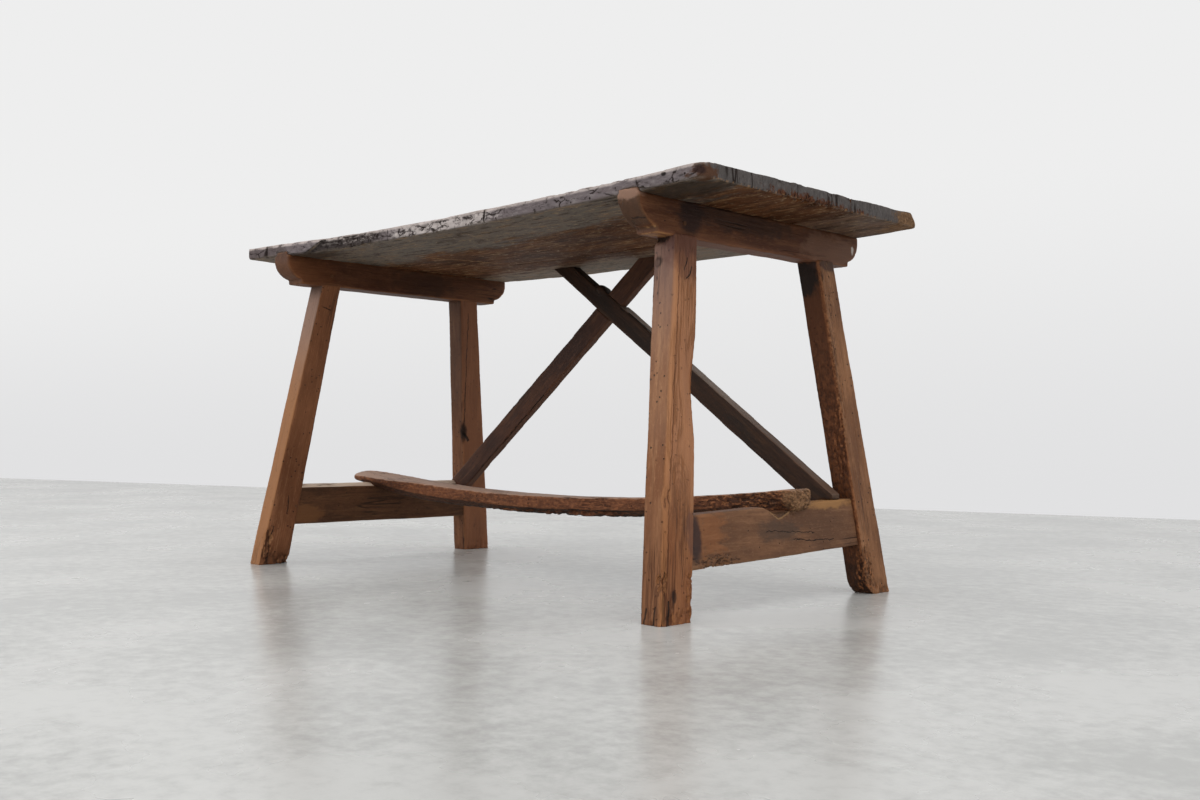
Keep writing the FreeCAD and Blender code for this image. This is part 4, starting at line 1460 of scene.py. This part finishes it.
# %% Top finish
bare_gloss = 0.03
end_cracks = (-208, -75, 97)
end_crack_low = 742
end_crack_high = 770
for board in (front_board, back_board):
    coat = Coat(board.name + "_wood", along_x, "45291a", "6c452b", "855b3e")
    finish_sides(coat)
    finish_front(coat)
    finish_end(coat)
    coat.paint(coat.bite * coat.broken.ramp(0.45, 0.65) * 0.7, "2a1e17")
    for y in end_cracks:
        coat.crack((end_x, y, end_crack_low), (end_x, y, end_crack_high), to_right, 1.5, 3)
    coat.crack((174, edge_y, 730), (176, edge_y, 762), to_front, 4, 3)
    coat.crack((-641, edge_y, 738), (-641, edge_y, 772), to_front, 5, 3)
    coat.blot((-644, edge_y, 746), (9, 20, 12), "241a18", 0.9, 0.3)
    coat.crack((-148, edge_y, 731), (-148, edge_y, 752), to_front, 1.5, 3)
    coat.crack((550, edge_y, 744), (598, edge_y, 743), to_front, 2, 2)
    coat.blot((643, edge_y, 760), (7, 20, 4), "171210", 0.9, 0.4)
    coat.crack((-136, -17, 731), (59, -17, 731), downward, 1.2, 8)
    coat.crack((-290, -124, 733), (-239, 51, 733), downward, 5, 8, "9c7a54")
    coat.rub("9a8c80", 0.3)
    coat.give(board, bare_gloss)
print("top finished")

# %% [markdown]
# ## Finish of the pegs
# All pegs and dowels but the short one keep their solids, which are plain round pegs, and they take a
# dark wood whose grain runs along each peg.

# %% Peg finish
peg_wood = ("4a2f1e", "6b472f", "7d573c")
peg_tones = {"cross_peg": ("140c08", "1f130c", "2a1a10")}
left_over = 0
coat = Coat("left_rail_peg_wood", Vector(upward), *peg_wood)
coat.give(short_peg)
for node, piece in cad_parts.items():
    if not piece.hide_render:
        low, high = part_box(node)
        span = high - low
        grain = Vector((0, 0, 0))
        grain[max(range(3), key=lambda axis: span[axis])] = 1
        coat = Coat(node + "_wood", grain, *peg_tones.get(node, peg_wood))
        coat.give(piece)
        left_over += 1
print("pegs and dowels finished:", left_over)

# %% [markdown]
# ## Room and light
# The table stands on a pale polished concrete floor before a white wall. The light is a dome that is
# bright overhead and towards the front right, and dim at the other sides, so that it models the legs
# softly and what lies under the top falls dark. The wall and the far distance show themselves to the
# camera and in reflections as a pale glow that lights nothing, and the wall's glow carries painted shade
# that darkens it towards the floor and towards the right. One wide lamp at the front left softens the
# shade there.

# %% Room
wall_foot = Vector((0.258, 3.357, 0))
wall_turn = math.radians(18.3)
wall_painted_shade_height = 1.6
wall_painted_shade_right = (0.3, 3.2)
room_size = 30.0
mottle_size = 0.5
speck_size = 30 * mm


def add_plane(name, **where):
    """A wide plane for the room and the start of its material."""
    bpy.ops.object.select_all(action="DESELECT")
    bpy.ops.mesh.primitive_plane_add(size=room_size, **where)
    plane = bpy.context.object
    plane.name = name
    material, start = bare_material(name)
    plane.data.materials.append(material)
    return plane, start.node("ShaderNodeTexCoord", out="Object")


def seen_rays(flow):
    """1 for the rays that show the room: those of the camera, of reflections and of glass."""
    rays = flow.node("ShaderNodeLightPath", out="Is Camera Ray")
    return rays.larger(rays.other("Is Glossy Ray")).larger(rays.other("Is Transmission Ray"))


floor, place = add_plane("floor")
mottle = place.noise(mottle_size, 5, 0.55)
speck = place.noise(speck_size, 4, 0.7)
shade = blend((mottle + (speck - 0.5) * 0.7).ramp(0.3, 0.7), tone("afafac"), tone("cacac7"))
wanted = {"Base Color": shade, "Roughness": mottle * 0.2 + 0.16}
concrete = place.node("ShaderNodeBsdfPrincipled", {}, wanted)
place.node("ShaderNodeOutputMaterial", {}, {0: concrete})

wall, place = add_plane("wall", location=wall_foot, rotation=(math.radians(90), 0, wall_turn))
# The wall's glow is painted darker near the floor and towards the right: painted shade.
wall_glow_painted_shade = blend(place.part("Y").ramp(0, wall_painted_shade_height), tone("e1e1e2"), tone("eeeeee"))
wall_glow_painted_shade = blend(place.part("X").ramp(*wall_painted_shade_right) * 0.35, wall_glow_painted_shade, tone("dcdcdd"))
glow = place.node("ShaderNodeEmission", {}, {"Color": wall_glow_painted_shade, "Strength": 1.0})
matt = place.node("ShaderNodeBsdfDiffuse", {}, {"Color": tone("e9e9e9")})
shown = place.node("ShaderNodeMixShader", {}, {0: seen_rays(place), 1: matt, 2: glow})
place.node("ShaderNodeOutputMaterial", {}, {0: shown})
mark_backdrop(floor, wall)
print("floor and wall staged")

# %% Light
front_right = Vector((0.78, -0.55, 0.3)).normalized()
overhead = 0.95
towards_front = 0.75
from_all_round = 0.1
pale_distance = 0.85
panel_place = Vector((-2.2, -4.2, 2.0))
panel_target = Vector((0, 0, 0.4))
panel_size = 2.5
panel_power = 60

world = bpy.data.worlds.new("dome")
bpy.context.scene.world = world
world.use_nodes = True
ray = Flow(world.node_tree).node("ShaderNodeTexCoord", out="Generated")
dome = ray.part("Z").ramp(-0.1, 0.9) * overhead
dome = dome + ray.dot(front_right).ramp(0.2, 1) * towards_front + from_all_round
strength = dome + (pale_distance - dome) * seen_rays(ray)
backdrop = world.node_tree.nodes["Background"]
backdrop.inputs["Color"].default_value = (1, 1, 1, 1)
world.node_tree.links.new(strength.socket, backdrop.inputs["Strength"])

light = bpy.data.lights.new("front_panel", "AREA")
light.energy = panel_power
light.size = panel_size
lamp = bpy.data.objects.new("front_panel", light)
bpy.context.scene.collection.objects.link(lamp)
lamp.location = panel_place
lamp.rotation_euler = (panel_target - panel_place).to_track_quat("-Z", "Y").to_euler()
print("light set")

# %% [markdown]
# ## Finish
# The box that the looks take up is printed.

# %% Finish
low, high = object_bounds()
print("looks box", tuple(low), tuple(high))
